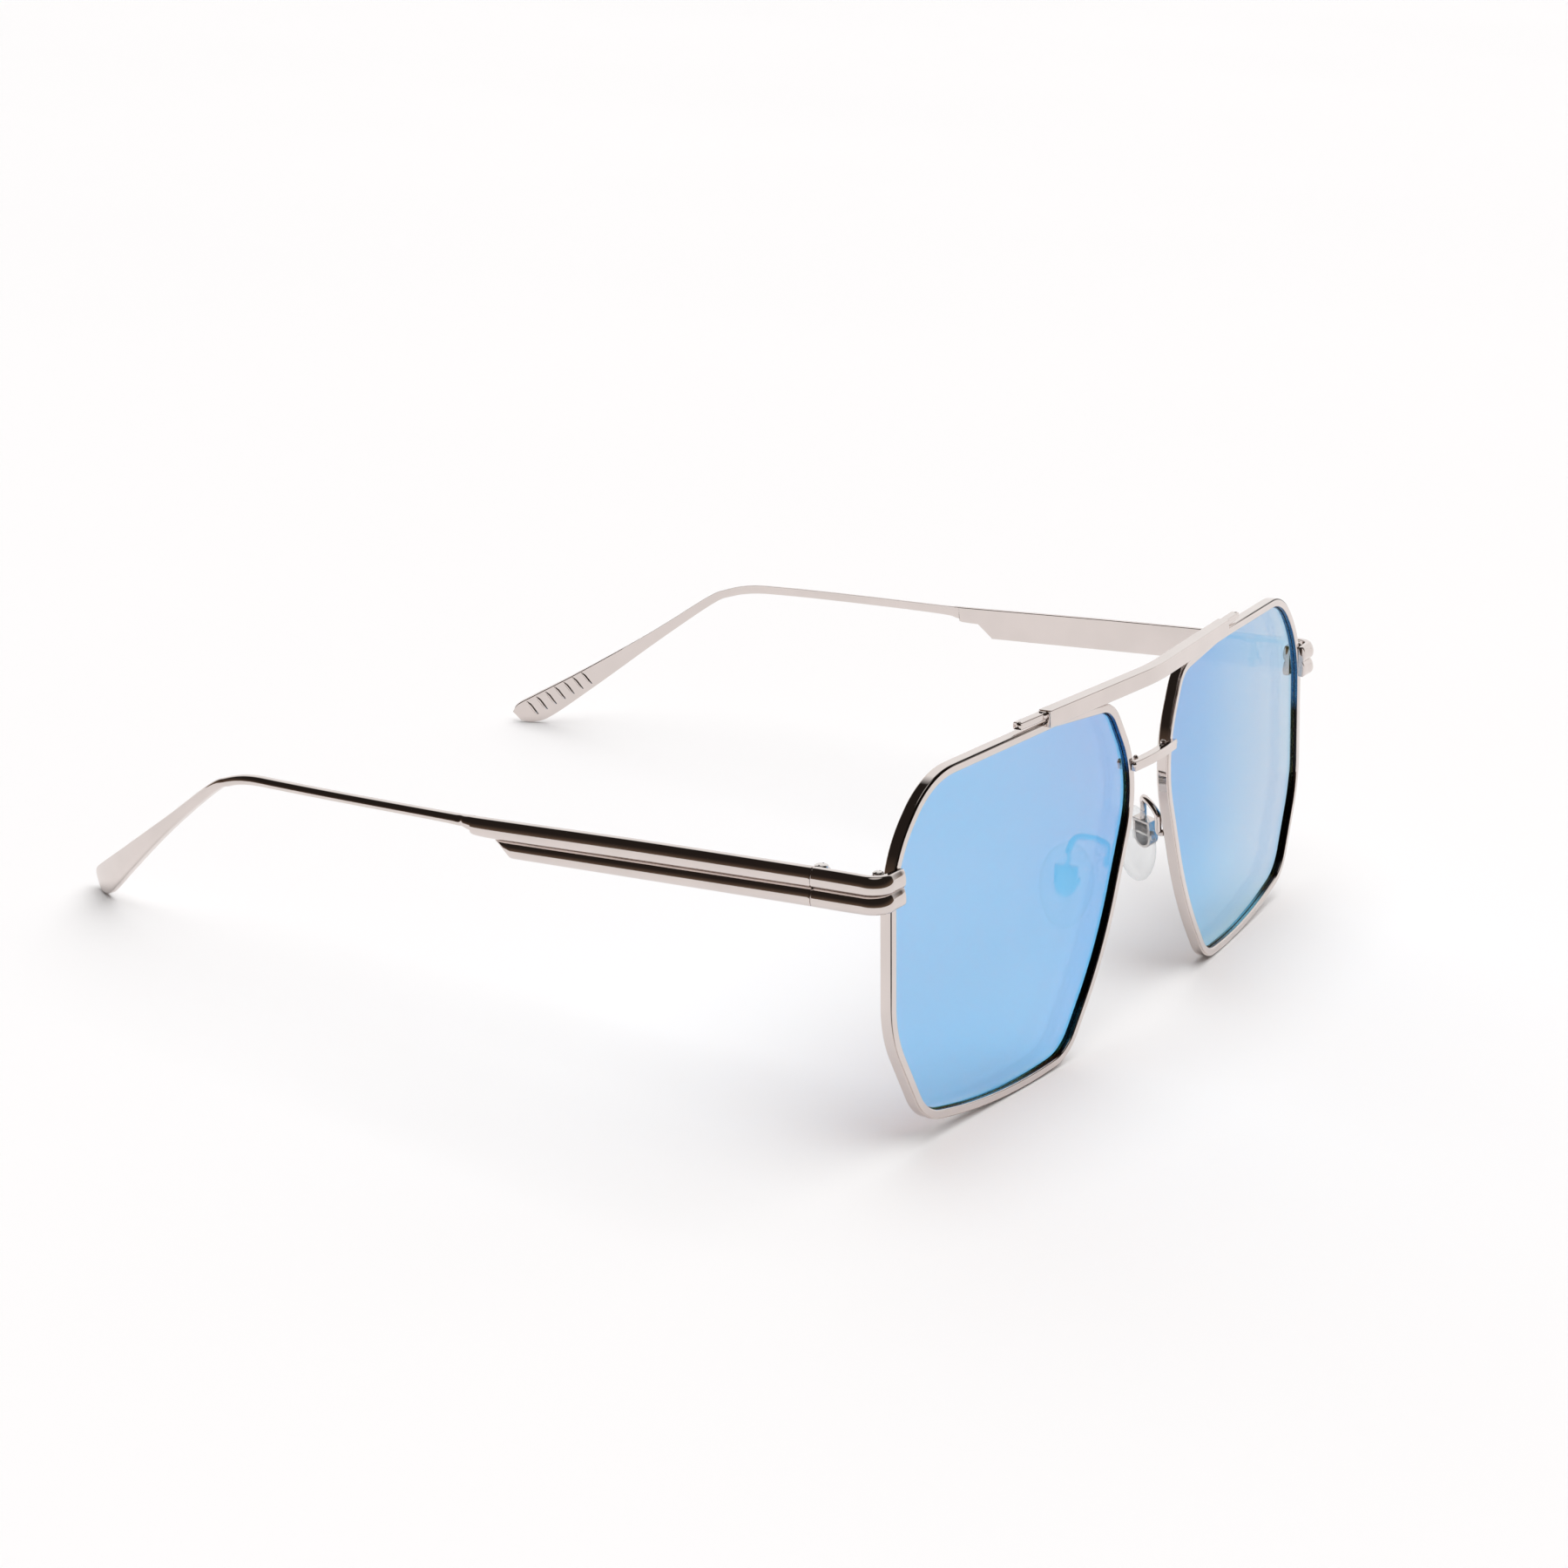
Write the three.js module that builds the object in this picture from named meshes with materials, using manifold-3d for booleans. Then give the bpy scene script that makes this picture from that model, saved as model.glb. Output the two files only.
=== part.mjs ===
// Full-rim metal aviator sunglasses with a brow bar, a lower bridge, flat lenses in a shallow V,
// twin-rib end pieces and temples, barrel hinges and rocking nose pads on swan-neck arms.
// Millimetres, +Z up, the lenses face -Y and the temples run towards +Y.
// Each side is drawn for the wearer's left (+X) and mirrored for the right.
import * as THREE from 'three';
import { mergeVertices } from 'three/addons/utils/BufferGeometryUtils.js';
import Module from 'manifold-3d';

const wasm = await Module();
wasm.setup();

// ---------- driving dimensions ----------
const FRONT_LEAN = THREE.MathUtils.degToRad(4.7);    // the front leans back at its top
const LENS_SWEEP = THREE.MathUtils.degToRad(4.65);    // each lens plane sweeps back from the centre

// Lens opening, counter-clockwise seen from the front: across, up, corner radius, arc steps.
const OPENING_CORNERS = [
  [27.1, 49.6, 20, 1], [11.9, 48.4, 4.6, 5], [5.1, 37.1, 15, 5], [14.2, 14.2, 55, 3], [23.9, 2.0, 7.2, 5],
  [41.4, 1.1, 100, 4], [58.9, 4.8, 7.1, 5], [65.9, 17.8, 15, 4], [65.4, 40.4, 16, 5], [56.9, 49.2, 12, 5],
];
const RIM_WIDTH = 1.3;
const RIM_DEPTH = 1.8;
const RIM_EDGE = 0.22;         // rounding of the rim's outer edges
const GROOVE_DEPTH = 0.5;
const GROOVE_PLACE = 1.1;      // depth of the groove's bottom behind the rim's front face
const GROOVE_HALF = 0.45;
const LENS_RECESS = 0.68;
const LENS_THICKNESS = 1.6;
const FIT = 0.06;              // clearance between fitted pieces

const BAR = { half: 29.3, bottom: 50.1, top: 52.5, proud: 0.7, back: 1.2 };
const RAIL = { end: 36.5, top: 52.2, back: 1.3 };  // the bar's stepped-down ends on top of the rims
const RIM_TOP_CLEAR = 51.15;   // just above the top of the rims
const BRIDGE = { half: 6.8, bottom: 38.5, top: 39.95, proud: 0.85, coreHalf: 5.0, coreBack: 0.8 };
const CENTRE_BLEND = 4;        // half-width over which the V of the bars is rounded

const RIB_BASE = 0.6;          // flat backing under the ribs
const RIB_BULGE = 1.1;
const END_PLATE_START = 65.0;
const END_INNER_X = 69.3;      // inner face of the end piece's side and of the temple's root
const END_INNER_RADIUS = 1.6;
const SEAM = 14.75;            // where end piece and temple meet, behind the front's datum
const END_HALF_HEIGHTS = [2.45, 2.6];
const END_MIDDLES = [37.65, 37.62];

const SPLIT_HEIGHT = 37.6;     // where the rim is split and closed by its two blocks
const SPLIT_GAP = 0.3;
const BLOCK = { near: 66.78, far: 68.85, front: 0.4, back: 2.1, height: 1.85 };
const CLOSING_SCREW = { radius: 0.45, head: 0.75, headHeight: 0.5 };

const HINGE = { x: 68.0, y: 14.75, middle: 37.4, radius: 1.2, bore: 0.62, height: 4.2, gap: 0.05 };
const HINGE_SCREW = { radius: 0.56, head: 0.95, headHeight: 0.55 };
const LEAF = { inner: 68.1, outer: 69.22, front: 9.6, back: 21.2, half: 2.0 };

const BOW_START = 72;          // the temple runs straight to here, then bows inwards
const BOW_LENGTH = 80;
const BOW_DEPTH = 13.2;
const BOW_POWER = 3.2;
const TOE_IN = 0.0106;
// Temple edges: top y, top z, bottom y, bottom z, backing and bulge of the section.
const TEMPLE_STATIONS = [
  [14.81, 40.2, 14.81, 37.62, 0.6, 1.1], [40, 39.92, 40, 37.22, 0.6, 1.1],
  [65.6, 39.4, 65.6, 36.75, 0.6, 1.1],
  [69, 39.35, 68.8, 37.4, 0.5, 1.05], [72.5, 39.3, 72.3, 37.85, 0.4, 1.0], [88, 39.45, 88, 38.1, 0.4, 0.95],
  [103, 39.55, 103, 38.2, 0.4, 0.95], [109.5, 39.4, 108.8, 38.05, 0.4, 0.9],
  [114.2, 38.35, 113, 37.25, 0.45, 0.8], [118, 36.65, 116.9, 35.55, 0.5, 0.7],
  [128.4, 29.87, 127.3, 28.2, 0.65, 0.45], [141.2, 22.15, 139.1, 19.2, 0.75, 0.3],
  [149.1, 17.66, 146.5, 13.7, 0.75, 0.25], [152.1, 15.85, 149.5, 12.53, 0.7, 0.2],
  [152.9, 14.4, 151.6, 12.75, 0.6, 0.15],
];
const LOWER_RIB = {
  topEnd: 65.2, bottomEnd: 62.4, start: 14.81, startZ: [37.68, 35.02], endZ: [36.82, 34.4],
};

// Nose pad: the place where its box sits, the way its face looks, and how far its middle hangs below the box.
const PAD = { seat: [12.06, 9.85, 22.2], facing: [-0.91, 0.33, -0.2] };
const PILLOW = { width: 8.2, height: 12.4, thickness: 2.3, drop: 1.0 };
const PAD_BOX = { halfWidth: 1.7, halfHeight: 2.3, wall: 0.45, lipGap: 0.42, depth: 2.3 };
const PAD_LUG = { halfWidth: 1.15, halfHeight: 0.8, depth: 1.45, pivot: 0.95 };
const PAD_SCREW = { radius: 0.45, bore: 0.5, head: 0.72, headHeight: 0.4 };
const ARM_RADIUS = 0.5;
const ARM_RISE = [8.4, 5.7, 27.3];
const ARM_CREST = [11.0, 9.2, 28.4];
const ARM_ROOT = { across: 9.0, up: 24.9, behind: 0.06 };

const METAL = new THREE.MeshStandardMaterial({ color: 0xd8d2cd, roughness: 0.12, metalness: 1.0 });
const SCREW_METAL = new THREE.MeshStandardMaterial({ color: 0xc9c6c4, roughness: 0.25, metalness: 1.0 });
const LENS_BLUE = new THREE.MeshStandardMaterial({ color: 0x9cc3ea, roughness: 0.05, metalness: 0.4 });
const SILICONE = new THREE.MeshStandardMaterial({ color: 0xe9eef2, roughness: 0.35, metalness: 0.0 });

// ---------- solids ----------
function solid(geometry) {
  const bare = geometry.clone();
  bare.deleteAttribute('normal');
  bare.deleteAttribute('uv');
  const merged = mergeVertices(bare, 1e-5);
  return new wasm.Manifold(new wasm.Mesh({
    numProp: 3,
    vertProperties: new Float32Array(merged.attributes.position.array),
    triVerts: new Uint32Array(merged.index.array),
  }));
}

function fromSolid(body) {
  const mesh = body.getMesh();
  const geometry = new THREE.BufferGeometry();
  geometry.setAttribute('position', new THREE.BufferAttribute(new Float32Array(mesh.vertProperties), 3));
  geometry.setIndex(new THREE.BufferAttribute(new Uint32Array(mesh.triVerts), 1));
  geometry.computeVertexNormals();
  return geometry;
}

function joined(geometries, cuts = []) {
  let body = solid(geometries[0]);
  for (const geometry of geometries.slice(1)) body = body.add(solid(geometry));
  for (const cut of cuts) body = body.subtract(solid(cut));
  return fromSolid(body);
}

function mirrored(geometry) {
  const copy = geometry.index ? geometry.toNonIndexed() : geometry.clone();
  const position = copy.attributes.position;
  for (let i = 0; i < position.count; i += 3) {
    const [a, b, c] = [0, 1, 2].map((k) => new THREE.Vector3().fromBufferAttribute(position, i + k));
    [a, c, b].forEach((p, k) => position.setXYZ(i + k, -p.x, p.y, p.z));
  }
  copy.deleteAttribute('uv');
  copy.computeVertexNormals();
  return copy;
}

function box(low, high) {
  const size = high.map((value, i) => value - low[i]);
  const geometry = new THREE.BoxGeometry(...size);
  return geometry.translate(...low.map((value, i) => value + size[i] / 2));
}

function upright(radius, x, y, low, high, sides = 20) {
  const geometry = new THREE.CylinderGeometry(radius, radius, high - low, sides);
  return geometry.rotateX(Math.PI / 2).translate(x, y, (low + high) / 2);
}

// Moves every point of an extruded outline: place(index of the outline point, step) gives x, y, z.
// Out, up and back along the path are right-handed.
function carried(points, steps, place) {
  const shape = new THREE.Shape(points);
  const geometry = new THREE.ExtrudeGeometry(shape, { depth: steps, steps, bevelEnabled: false });
  const position = geometry.attributes.position;
  for (let i = 0; i < position.count; i++) {
    const here = new THREE.Vector2(position.getX(i), position.getY(i));
    const near = points.map((p) => p.distanceToSquared(here));
    position.setXYZ(i, ...place(near.indexOf(Math.min(...near)), steps - Math.round(position.getZ(i))));
  }
  return geometry;
}

// ---------- lens opening ----------
// The rounded outline, moved outwards by an offset; point k is the same corner place for every offset.
function openingOutline(offset) {
  const corners = OPENING_CORNERS.map(([x, y]) => new THREE.Vector2(x, y));
  const count = corners.length;
  const edgeDirection = (i) => corners[(i + 1) % count].clone().sub(corners[i % count]).normalize();
  const points = [];
  OPENING_CORNERS.forEach(([, , radius, steps], i) => {
    const before = edgeDirection(i + count - 1);
    const after = edgeDirection(i);
    const turn = Math.acos(THREE.MathUtils.clamp(before.dot(after), -1, 1));
    const tangent = radius * Math.tan(turn / 2);
    const inwards = new THREE.Vector2(-before.y, before.x);
    const centre = corners[i].clone().addScaledVector(before, -tangent).addScaledVector(inwards, radius);
    const start = Math.atan2(-inwards.y, -inwards.x);
    for (let k = 0; k <= steps; k++) {
      const angle = start + (turn * k) / steps;
      const arm = new THREE.Vector2(Math.cos(angle), Math.sin(angle)).multiplyScalar(radius + offset);
      points.push(arm.add(centre));
    }
  });
  return points;
}

// A closed ring or plate whose outline offset changes with depth: [depth, outer offset, inner offset].
function offsetStack(levels) {
  const outlineAt = (offset) => (offset === undefined ? null : openingOutline(offset));
  const rings = levels.map(([, outer, inner]) => [outlineAt(outer), outlineAt(inner)]);
  const outerShape = openingOutline(1);
  const shape = new THREE.Shape(outerShape);
  const innerShape = levels[0][2] === undefined ? [] : openingOutline(0);
  if (innerShape.length) shape.holes.push(new THREE.Path(innerShape));
  const steps = levels.length - 1;
  const geometry = new THREE.ExtrudeGeometry(shape, { depth: steps, steps, bevelEnabled: false });
  const position = geometry.attributes.position;
  const all = [...outerShape, ...innerShape];
  for (let i = 0; i < position.count; i++) {
    const here = new THREE.Vector2(position.getX(i), position.getY(i));
    const near = all.map((p) => p.distanceToSquared(here));
    const index = near.indexOf(Math.min(...near));
    const level = steps - Math.round(position.getZ(i));
    const ring = rings[level][index < outerShape.length ? 0 : 1];
    const point = ring[index % outerShape.length];
    position.setXYZ(i, point.x, levels[level][0], point.y);
  }
  return geometry;
}

function rimGeometry() {
  const ring = offsetStack([
    [0, RIM_WIDTH - RIM_EDGE, 0.1], [RIM_EDGE, RIM_WIDTH, 0], [GROOVE_PLACE - GROOVE_HALF, RIM_WIDTH, 0],
    [GROOVE_PLACE, RIM_WIDTH, GROOVE_DEPTH], [GROOVE_PLACE + GROOVE_HALF, RIM_WIDTH, 0],
    [RIM_DEPTH, RIM_WIDTH - RIM_EDGE, 0],
  ]);
  const slot = box([63, -1, SPLIT_HEIGHT - SPLIT_GAP / 2], [69, 3, SPLIT_HEIGHT + SPLIT_GAP / 2]);
  return joined([ring], [slot]);
}

function lensGeometry() {
  const edge = 0.32;
  return offsetStack([
    [LENS_RECESS, -FIT - 0.05], [GROOVE_PLACE - edge, -FIT], [GROOVE_PLACE, GROOVE_DEPTH - 0.1],
    [GROOVE_PLACE + edge, -FIT], [LENS_RECESS + LENS_THICKNESS, -FIT - 0.05],
  ]);
}

// ---------- bars across the front ----------
// The V of the two lens planes, seen from above, with its point rounded by a parabola.
function sweepBack(x) {
  const slope = Math.tan(LENS_SWEEP);
  const reach = Math.abs(x);
  if (reach > CENTRE_BLEND) return slope * reach;
  return slope * (CENTRE_BLEND / 2 + (x * x) / (2 * CENTRE_BLEND));
}

function barPiece(from, to, front, back, low, high) {
  const crossing = [-1, -0.5, 0, 0.5, 1].map((k) => k * CENTRE_BLEND).filter((x) => x > from && x < to);
  const stops = [from, ...crossing, to];
  const edge = (depth) => stops.map((x) => new THREE.Vector2(x, sweepBack(x) + depth));
  const shape = new THREE.Shape([...edge(front), ...edge(back).reverse()]);
  return new THREE.ExtrudeGeometry(shape, { depth: high - low, bevelEnabled: false }).translate(0, 0, low);
}

function browBarGeometry() {
  return joined([
    barPiece(-BAR.half, BAR.half, -BAR.proud, -FIT, BAR.bottom, BAR.top),
    barPiece(-BAR.half, BAR.half, -BAR.proud / 2, BAR.back, RIM_TOP_CLEAR, BAR.top - 0.05),
    barPiece(BAR.half - 1, RAIL.end, 0, RAIL.back, RIM_TOP_CLEAR + 0.02, RAIL.top),
    barPiece(-RAIL.end, 1 - BAR.half, 0, RAIL.back, RIM_TOP_CLEAR + 0.02, RAIL.top),
  ]);
}

function lowerBridgeGeometry() {
  const inset = 0.1;
  return joined([
    barPiece(-BRIDGE.half, BRIDGE.half, -BRIDGE.proud, -FIT, BRIDGE.bottom, BRIDGE.top),
    barPiece(-BRIDGE.coreHalf, BRIDGE.coreHalf, -BRIDGE.proud / 2, BRIDGE.coreBack, BRIDGE.bottom + inset,
      BRIDGE.top - inset),
  ]);
}

// ---------- end piece ----------
// Half-round ribs on a flat backing: [out, up] with up from -1 to 1 over the section's height.
function ribSection(ribs, base, bulge) {
  const points = [[0, 1], [0, -1]];
  const arc = 5;
  for (let rib = 0; rib < ribs; rib++) {
    const middle = -1 + (2 * rib + 1) / ribs;
    for (let k = rib ? 1 : 0; k <= arc; k++) {
      const angle = -Math.PI / 2 + (Math.PI * k) / arc;
      points.push([base + bulge * Math.cos(angle), middle + Math.sin(angle) / ribs]);
    }
  }
  return points;
}

// Path seen from above: along the rim's front face, round the corner and back to the seam.
function endPiecePath() {
  const along = new THREE.Vector2(Math.cos(LENS_SWEEP), Math.sin(LENS_SWEEP));
  const front = new THREE.Vector2(along.y, -along.x);
  const start = along.clone().multiplyScalar(END_PLATE_START).addScaledVector(front, FIT);
  const cornerX = END_INNER_X - END_INNER_RADIUS * (1 - Math.sin(LENS_SWEEP));
  const corner = start.clone().addScaledVector(along, (cornerX - start.x) / along.x);
  const centre = corner.clone().addScaledVector(front, -END_INNER_RADIUS);
  const stops = [[start, front], [start.clone().lerp(corner, 0.5), front]];
  const turns = 6;
  for (let k = 0; k <= turns; k++) {
    const angle = THREE.MathUtils.lerp(LENS_SWEEP - Math.PI / 2, 0, k / turns);
    const out = new THREE.Vector2(Math.cos(angle), Math.sin(angle));
    stops.push([centre.clone().addScaledVector(out, END_INNER_RADIUS), out]);
  }
  const side = new THREE.Vector2(1, 0);
  for (const k of [0.5, 1]) {
    stops.push([new THREE.Vector2(END_INNER_X, THREE.MathUtils.lerp(centre.y, SEAM, k)), side]);
  }
  return stops;
}

function endPieceGeometry() {
  const section = ribSection(2, RIB_BASE, RIB_BULGE);
  const stops = endPiecePath();
  const last = stops.length - 1;
  const plateBulge = 0.45;     // the ribs run out where the plate lies on the rim
  return carried(section.map((p) => new THREE.Vector2(...p)), last, (index, step) => {
    const [foot, out] = stops[step];
    const [thickness, up] = section[index];
    const share = step / last;
    const bulge = THREE.MathUtils.lerp(plateBulge, 1, Math.min(1, step / 3));
    const grown = thickness > RIB_BASE ? RIB_BASE + (thickness - RIB_BASE) * bulge : thickness;
    const middle = THREE.MathUtils.lerp(...END_MIDDLES, THREE.MathUtils.smoothstep(share, 0, 0.7));
    const half = THREE.MathUtils.lerp(...END_HALF_HEIGHTS, Math.min(1, share * 1.5));
    return [foot.x + out.x * grown, foot.y + out.y * grown, middle + half * up];
  });
}

// ---------- rim closing blocks ----------
function closingBlockGeometry(low) {
  const { near, far, front, back, height } = BLOCK;
  const corners = [[near, front], [far, front], [far, back], [near, back]];
  const shape = new THREE.Shape(corners.map((p) => new THREE.Vector2(...p)));
  const bore = new THREE.Path();
  bore.absarc((near + far) / 2, (front + back) / 2, CLOSING_SCREW.radius + FIT, 0, 2 * Math.PI, true);
  shape.holes.push(bore);
  const options = { depth: height, bevelEnabled: false, curveSegments: 8 };
  return new THREE.ExtrudeGeometry(shape, options).translate(0, 0, low);
}

function screwGeometry(radius, head, headHeight, length, sides = 16) {
  const profile = [[0, 0], [radius, 0], [radius, length], [head, length], [head, length + headHeight * 0.6],
    [head * 0.7, length + headHeight], [0, length + headHeight]];
  const geometry = new THREE.LatheGeometry(profile.map((p) => new THREE.Vector2(...p)), sides);
  return geometry.rotateX(Math.PI / 2);
}

function closingScrewGeometry() {
  const low = SPLIT_HEIGHT - SPLIT_GAP / 2 - BLOCK.height;
  const length = 2 * BLOCK.height + SPLIT_GAP + FIT;
  return screwGeometry(CLOSING_SCREW.radius, CLOSING_SCREW.head, CLOSING_SCREW.headHeight, length)
    .translate((BLOCK.near + BLOCK.far) / 2, (BLOCK.front + BLOCK.back) / 2, low);
}

// ---------- hinge ----------
function hingeLeafGeometry(isFront) {
  const low = HINGE.middle - HINGE.height / 2;
  const third = HINGE.height / 3;
  const spans = isFront ? [[0, 1], [2, 3]] : [[1, 2]];
  const toPlate = isFront ? -1 : 1;
  const reach = HINGE.radius + 0.2;
  const plateY = isFront ? [LEAF.front, HINGE.y - reach] : [HINGE.y + reach, LEAF.back];
  const bottomEdge = HINGE.middle - LEAF.half;
  const topEdge = bottomEdge + 2 * LEAF.half;
  const pieces = [box([LEAF.inner, plateY[0], bottomEdge], [LEAF.outer, plateY[1], topEdge])];
  for (const [from, to] of spans) {
    const bottom = low + from * third + (from > 0 ? HINGE.gap : 0);
    const top = low + to * third - (to < 3 ? HINGE.gap : 0);
    const tongueY = [HINGE.y, HINGE.y + toPlate * (reach + 0.3)].sort((a, b) => a - b);
    pieces.push(upright(HINGE.radius, HINGE.x, HINGE.y, bottom, top));
    const inset = 0.03;
    const corner = [LEAF.outer - inset, tongueY[1], top - inset];
    pieces.push(box([HINGE.x - 0.4, tongueY[0], bottom + inset], corner));
  }
  return joined(pieces, [upright(HINGE.bore, HINGE.x, HINGE.y, low - 1, low + HINGE.height + 1)]);
}

function hingeScrewGeometry() {
  const length = HINGE.height + HINGE.gap;
  return screwGeometry(HINGE_SCREW.radius, HINGE_SCREW.head, HINGE_SCREW.headHeight, length)
    .translate(HINGE.x, HINGE.y, HINGE.middle - HINGE.height / 2);
}

// ---------- temple ----------
function bow(y) {
  return TOE_IN * (y - SEAM) + BOW_DEPTH * (Math.max(0, y - BOW_START) / BOW_LENGTH) ** BOW_POWER;
}

// A point on the temple, out from its inner face, at a place along it and a height.
function templePoint(out, y, z) {
  const slope = (bow(y + 0.01) - bow(y - 0.01)) / 0.02;
  const turn = Math.atan(slope);
  return [END_INNER_X - bow(y) + out * Math.cos(turn), y + out * Math.sin(turn), z];
}

function upperRibGeometry() {
  const section = ribSection(1, 1, 1);
  const topEdge = new THREE.SplineCurve(TEMPLE_STATIONS.map((s) => new THREE.Vector2(s[0], s[1])));
  const bottomEdge = new THREE.SplineCurve(TEMPLE_STATIONS.map((s) => new THREE.Vector2(s[2], s[3])));
  const build = new THREE.SplineCurve(TEMPLE_STATIONS.map((s) => new THREE.Vector2(s[4], s[5])));
  const perStation = 3;
  const steps = (TEMPLE_STATIONS.length - 1) * perStation;
  return carried(section.map((p) => new THREE.Vector2(...p)), steps, (index, step) => {
    const share = step / steps;
    const [out, up] = section[index];
    const { x: base, y: bulge } = build.getPoint(share);
    const edge = bottomEdge.getPoint(share).lerp(topEdge.getPoint(share), (up + 1) / 2);
    const thickness = out === 0 ? 0 : base + bulge * (out - 1);
    return templePoint(thickness, edge.x, edge.y);
  });
}

function lowerRibGeometry() {
  const section = ribSection(1, RIB_BASE, RIB_BULGE);
  const steps = 12;
  return carried(section.map((p) => new THREE.Vector2(...p)), steps, (index, step) => {
    const [out, up] = section[index];
    const share = step / steps;
    const endY = THREE.MathUtils.lerp(LOWER_RIB.bottomEnd, LOWER_RIB.topEnd, ((up + 1) / 2) ** 1.5);
    const bottom = THREE.MathUtils.lerp(LOWER_RIB.startZ[1], LOWER_RIB.endZ[1], share);
    const top = THREE.MathUtils.lerp(LOWER_RIB.startZ[0], LOWER_RIB.endZ[0], share);
    const z = THREE.MathUtils.lerp(bottom, top, (up + 1) / 2);
    return templePoint(out, THREE.MathUtils.lerp(LOWER_RIB.start, endY, share), z);
  });
}

function templeGeometry() {
  return joined([upperRibGeometry(), lowerRibGeometry()]);
}

// ---------- nose pad ----------
// Pad axes: X across the pad, Y away from the nose, Z up the pad.
function padFrame() {
  const away = new THREE.Vector3(...PAD.facing).normalize().negate();
  const up = new THREE.Vector3(0, 0, 1).addScaledVector(away, -away.z).normalize();
  const across = away.clone().cross(up);
  return new THREE.Matrix4().makeBasis(across, away, up).setPosition(...PAD.seat);
}

function padGeometry() {
  const bevel = 0.7;
  const outline = new THREE.Shape();
  outline.absellipse(0, 0, PILLOW.width / 2 - bevel, PILLOW.height / 2 - bevel, 0, 2 * Math.PI);
  const pillow = new THREE.ExtrudeGeometry(outline, {
    depth: PILLOW.thickness - 2 * bevel, bevelThickness: bevel, bevelSize: bevel,
    bevelSegments: 2, curveSegments: 8,
  });
  pillow.rotateX(-Math.PI / 2).translate(0, bevel - PILLOW.thickness, -PILLOW.drop);
  const { halfWidth, halfHeight, depth } = PAD_LUG;
  const lug = box([-halfWidth, -0.4, -halfHeight], [halfWidth, depth, halfHeight]);
  return joined([pillow, lug], [padBoreGeometry()]);
}

function padBoreGeometry() {
  return new THREE.CylinderGeometry(PAD_SCREW.bore, PAD_SCREW.bore, 6, 16).rotateZ(Math.PI / 2)
    .translate(0, PAD_LUG.pivot, 0);
}

// A block with a half-round bottom, standing from one depth behind the pad to another.
function roundBottomBlock(halfWidth, top, bottom, near, far) {
  const outline = new THREE.Shape();
  outline.moveTo(halfWidth, top);
  outline.lineTo(-halfWidth, top);
  outline.absarc(0, bottom + halfWidth, halfWidth, Math.PI, 2 * Math.PI);
  const options = { depth: far - near, bevelEnabled: false, curveSegments: 10 };
  const block = new THREE.ExtrudeGeometry(outline, options);
  return block.rotateX(Math.PI / 2).translate(0, far, 0);
}

function padBoxGeometry() {
  const { halfWidth, halfHeight, wall, lipGap, depth } = PAD_BOX;
  const shell = roundBottomBlock(halfWidth, halfHeight, -halfHeight, lipGap, depth);
  const floor = wall - halfHeight;
  const pocket = roundBottomBlock(halfWidth - wall, halfHeight - wall, floor, lipGap - 1, depth - wall);
  return joined([shell], [pocket, padBoreGeometry()]);
}

function padScrewGeometry() {
  const length = 2 * PAD_BOX.halfWidth + FIT;
  return screwGeometry(PAD_SCREW.radius, PAD_SCREW.head, PAD_SCREW.headHeight, length)
    .rotateY(Math.PI / 2).translate(-PAD_BOX.halfWidth, PAD_LUG.pivot, 0);
}

// A swan neck from the back of the rim up, over and down onto the top of the pad's box.
function padArmGeometry() {
  const frame = padFrame();
  const overBox = (height, behind) => (
    new THREE.Vector3(0, behind, PAD_BOX.halfHeight + height).applyMatrix4(frame));
  const behindRim = (distance) => new THREE.Vector3(ARM_ROOT.across, RIM_DEPTH + distance, ARM_ROOT.up)
    .applyAxisAngle(new THREE.Vector3(0, 0, 1), LENS_SWEEP).applyAxisAngle(new THREE.Vector3(1, 0, 0), -FRONT_LEAN);
  const path = new THREE.CatmullRomCurve3([
    behindRim(ARM_ROOT.behind), behindRim(ARM_ROOT.behind + 0.7), new THREE.Vector3(...ARM_RISE),
    new THREE.Vector3(...ARM_CREST), overBox(1.9, 1.2), overBox(FIT + 0.7, 1.1), overBox(FIT, 1.1),
  ], false, 'centripetal');
  const section = new THREE.Shape().absellipse(0, 0, ARM_RADIUS, ARM_RADIUS, 0, 2 * Math.PI);
  return new THREE.ExtrudeGeometry(section, { extrudePath: path, steps: 26, curveSegments: 4 });
}

// ---------- assembly ----------
const glasses = new THREE.Group();
const front = new THREE.Group();
front.rotation.x = -FRONT_LEAN;
glasses.add(front);

function add(parent, name, geometry, material) {
  const mesh = new THREE.Mesh(geometry, material);
  mesh.name = name;
  parent.add(mesh);
  return mesh;
}

add(front, 'brow_bar', browBarGeometry(), METAL);
add(front, 'lower_bridge', lowerBridgeGeometry(), METAL);

const blockLow = SPLIT_HEIGHT - SPLIT_GAP / 2 - BLOCK.height;
const blockHigh = SPLIT_HEIGHT + SPLIT_GAP / 2;
const inLensPlane = {
  rim: [rimGeometry(), METAL],
  lens: [lensGeometry(), LENS_BLUE],
  closing_block_lower: [closingBlockGeometry(blockLow), METAL],
  closing_block_upper: [closingBlockGeometry(blockHigh), METAL],
  closing_screw: [closingScrewGeometry(), SCREW_METAL],
};
const inFront = {
  end_piece: [endPieceGeometry(), METAL],
  hinge_leaf_front: [hingeLeafGeometry(true), METAL],
  hinge_leaf_temple: [hingeLeafGeometry(false), METAL],
  hinge_screw: [hingeScrewGeometry(), SCREW_METAL],
  temple: [templeGeometry(), METAL],
};
const onPadFrame = {
  nose_pad: [padGeometry(), SILICONE],
  pad_box: [padBoxGeometry(), METAL],
  pad_screw: [padScrewGeometry(), SCREW_METAL],
};

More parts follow.
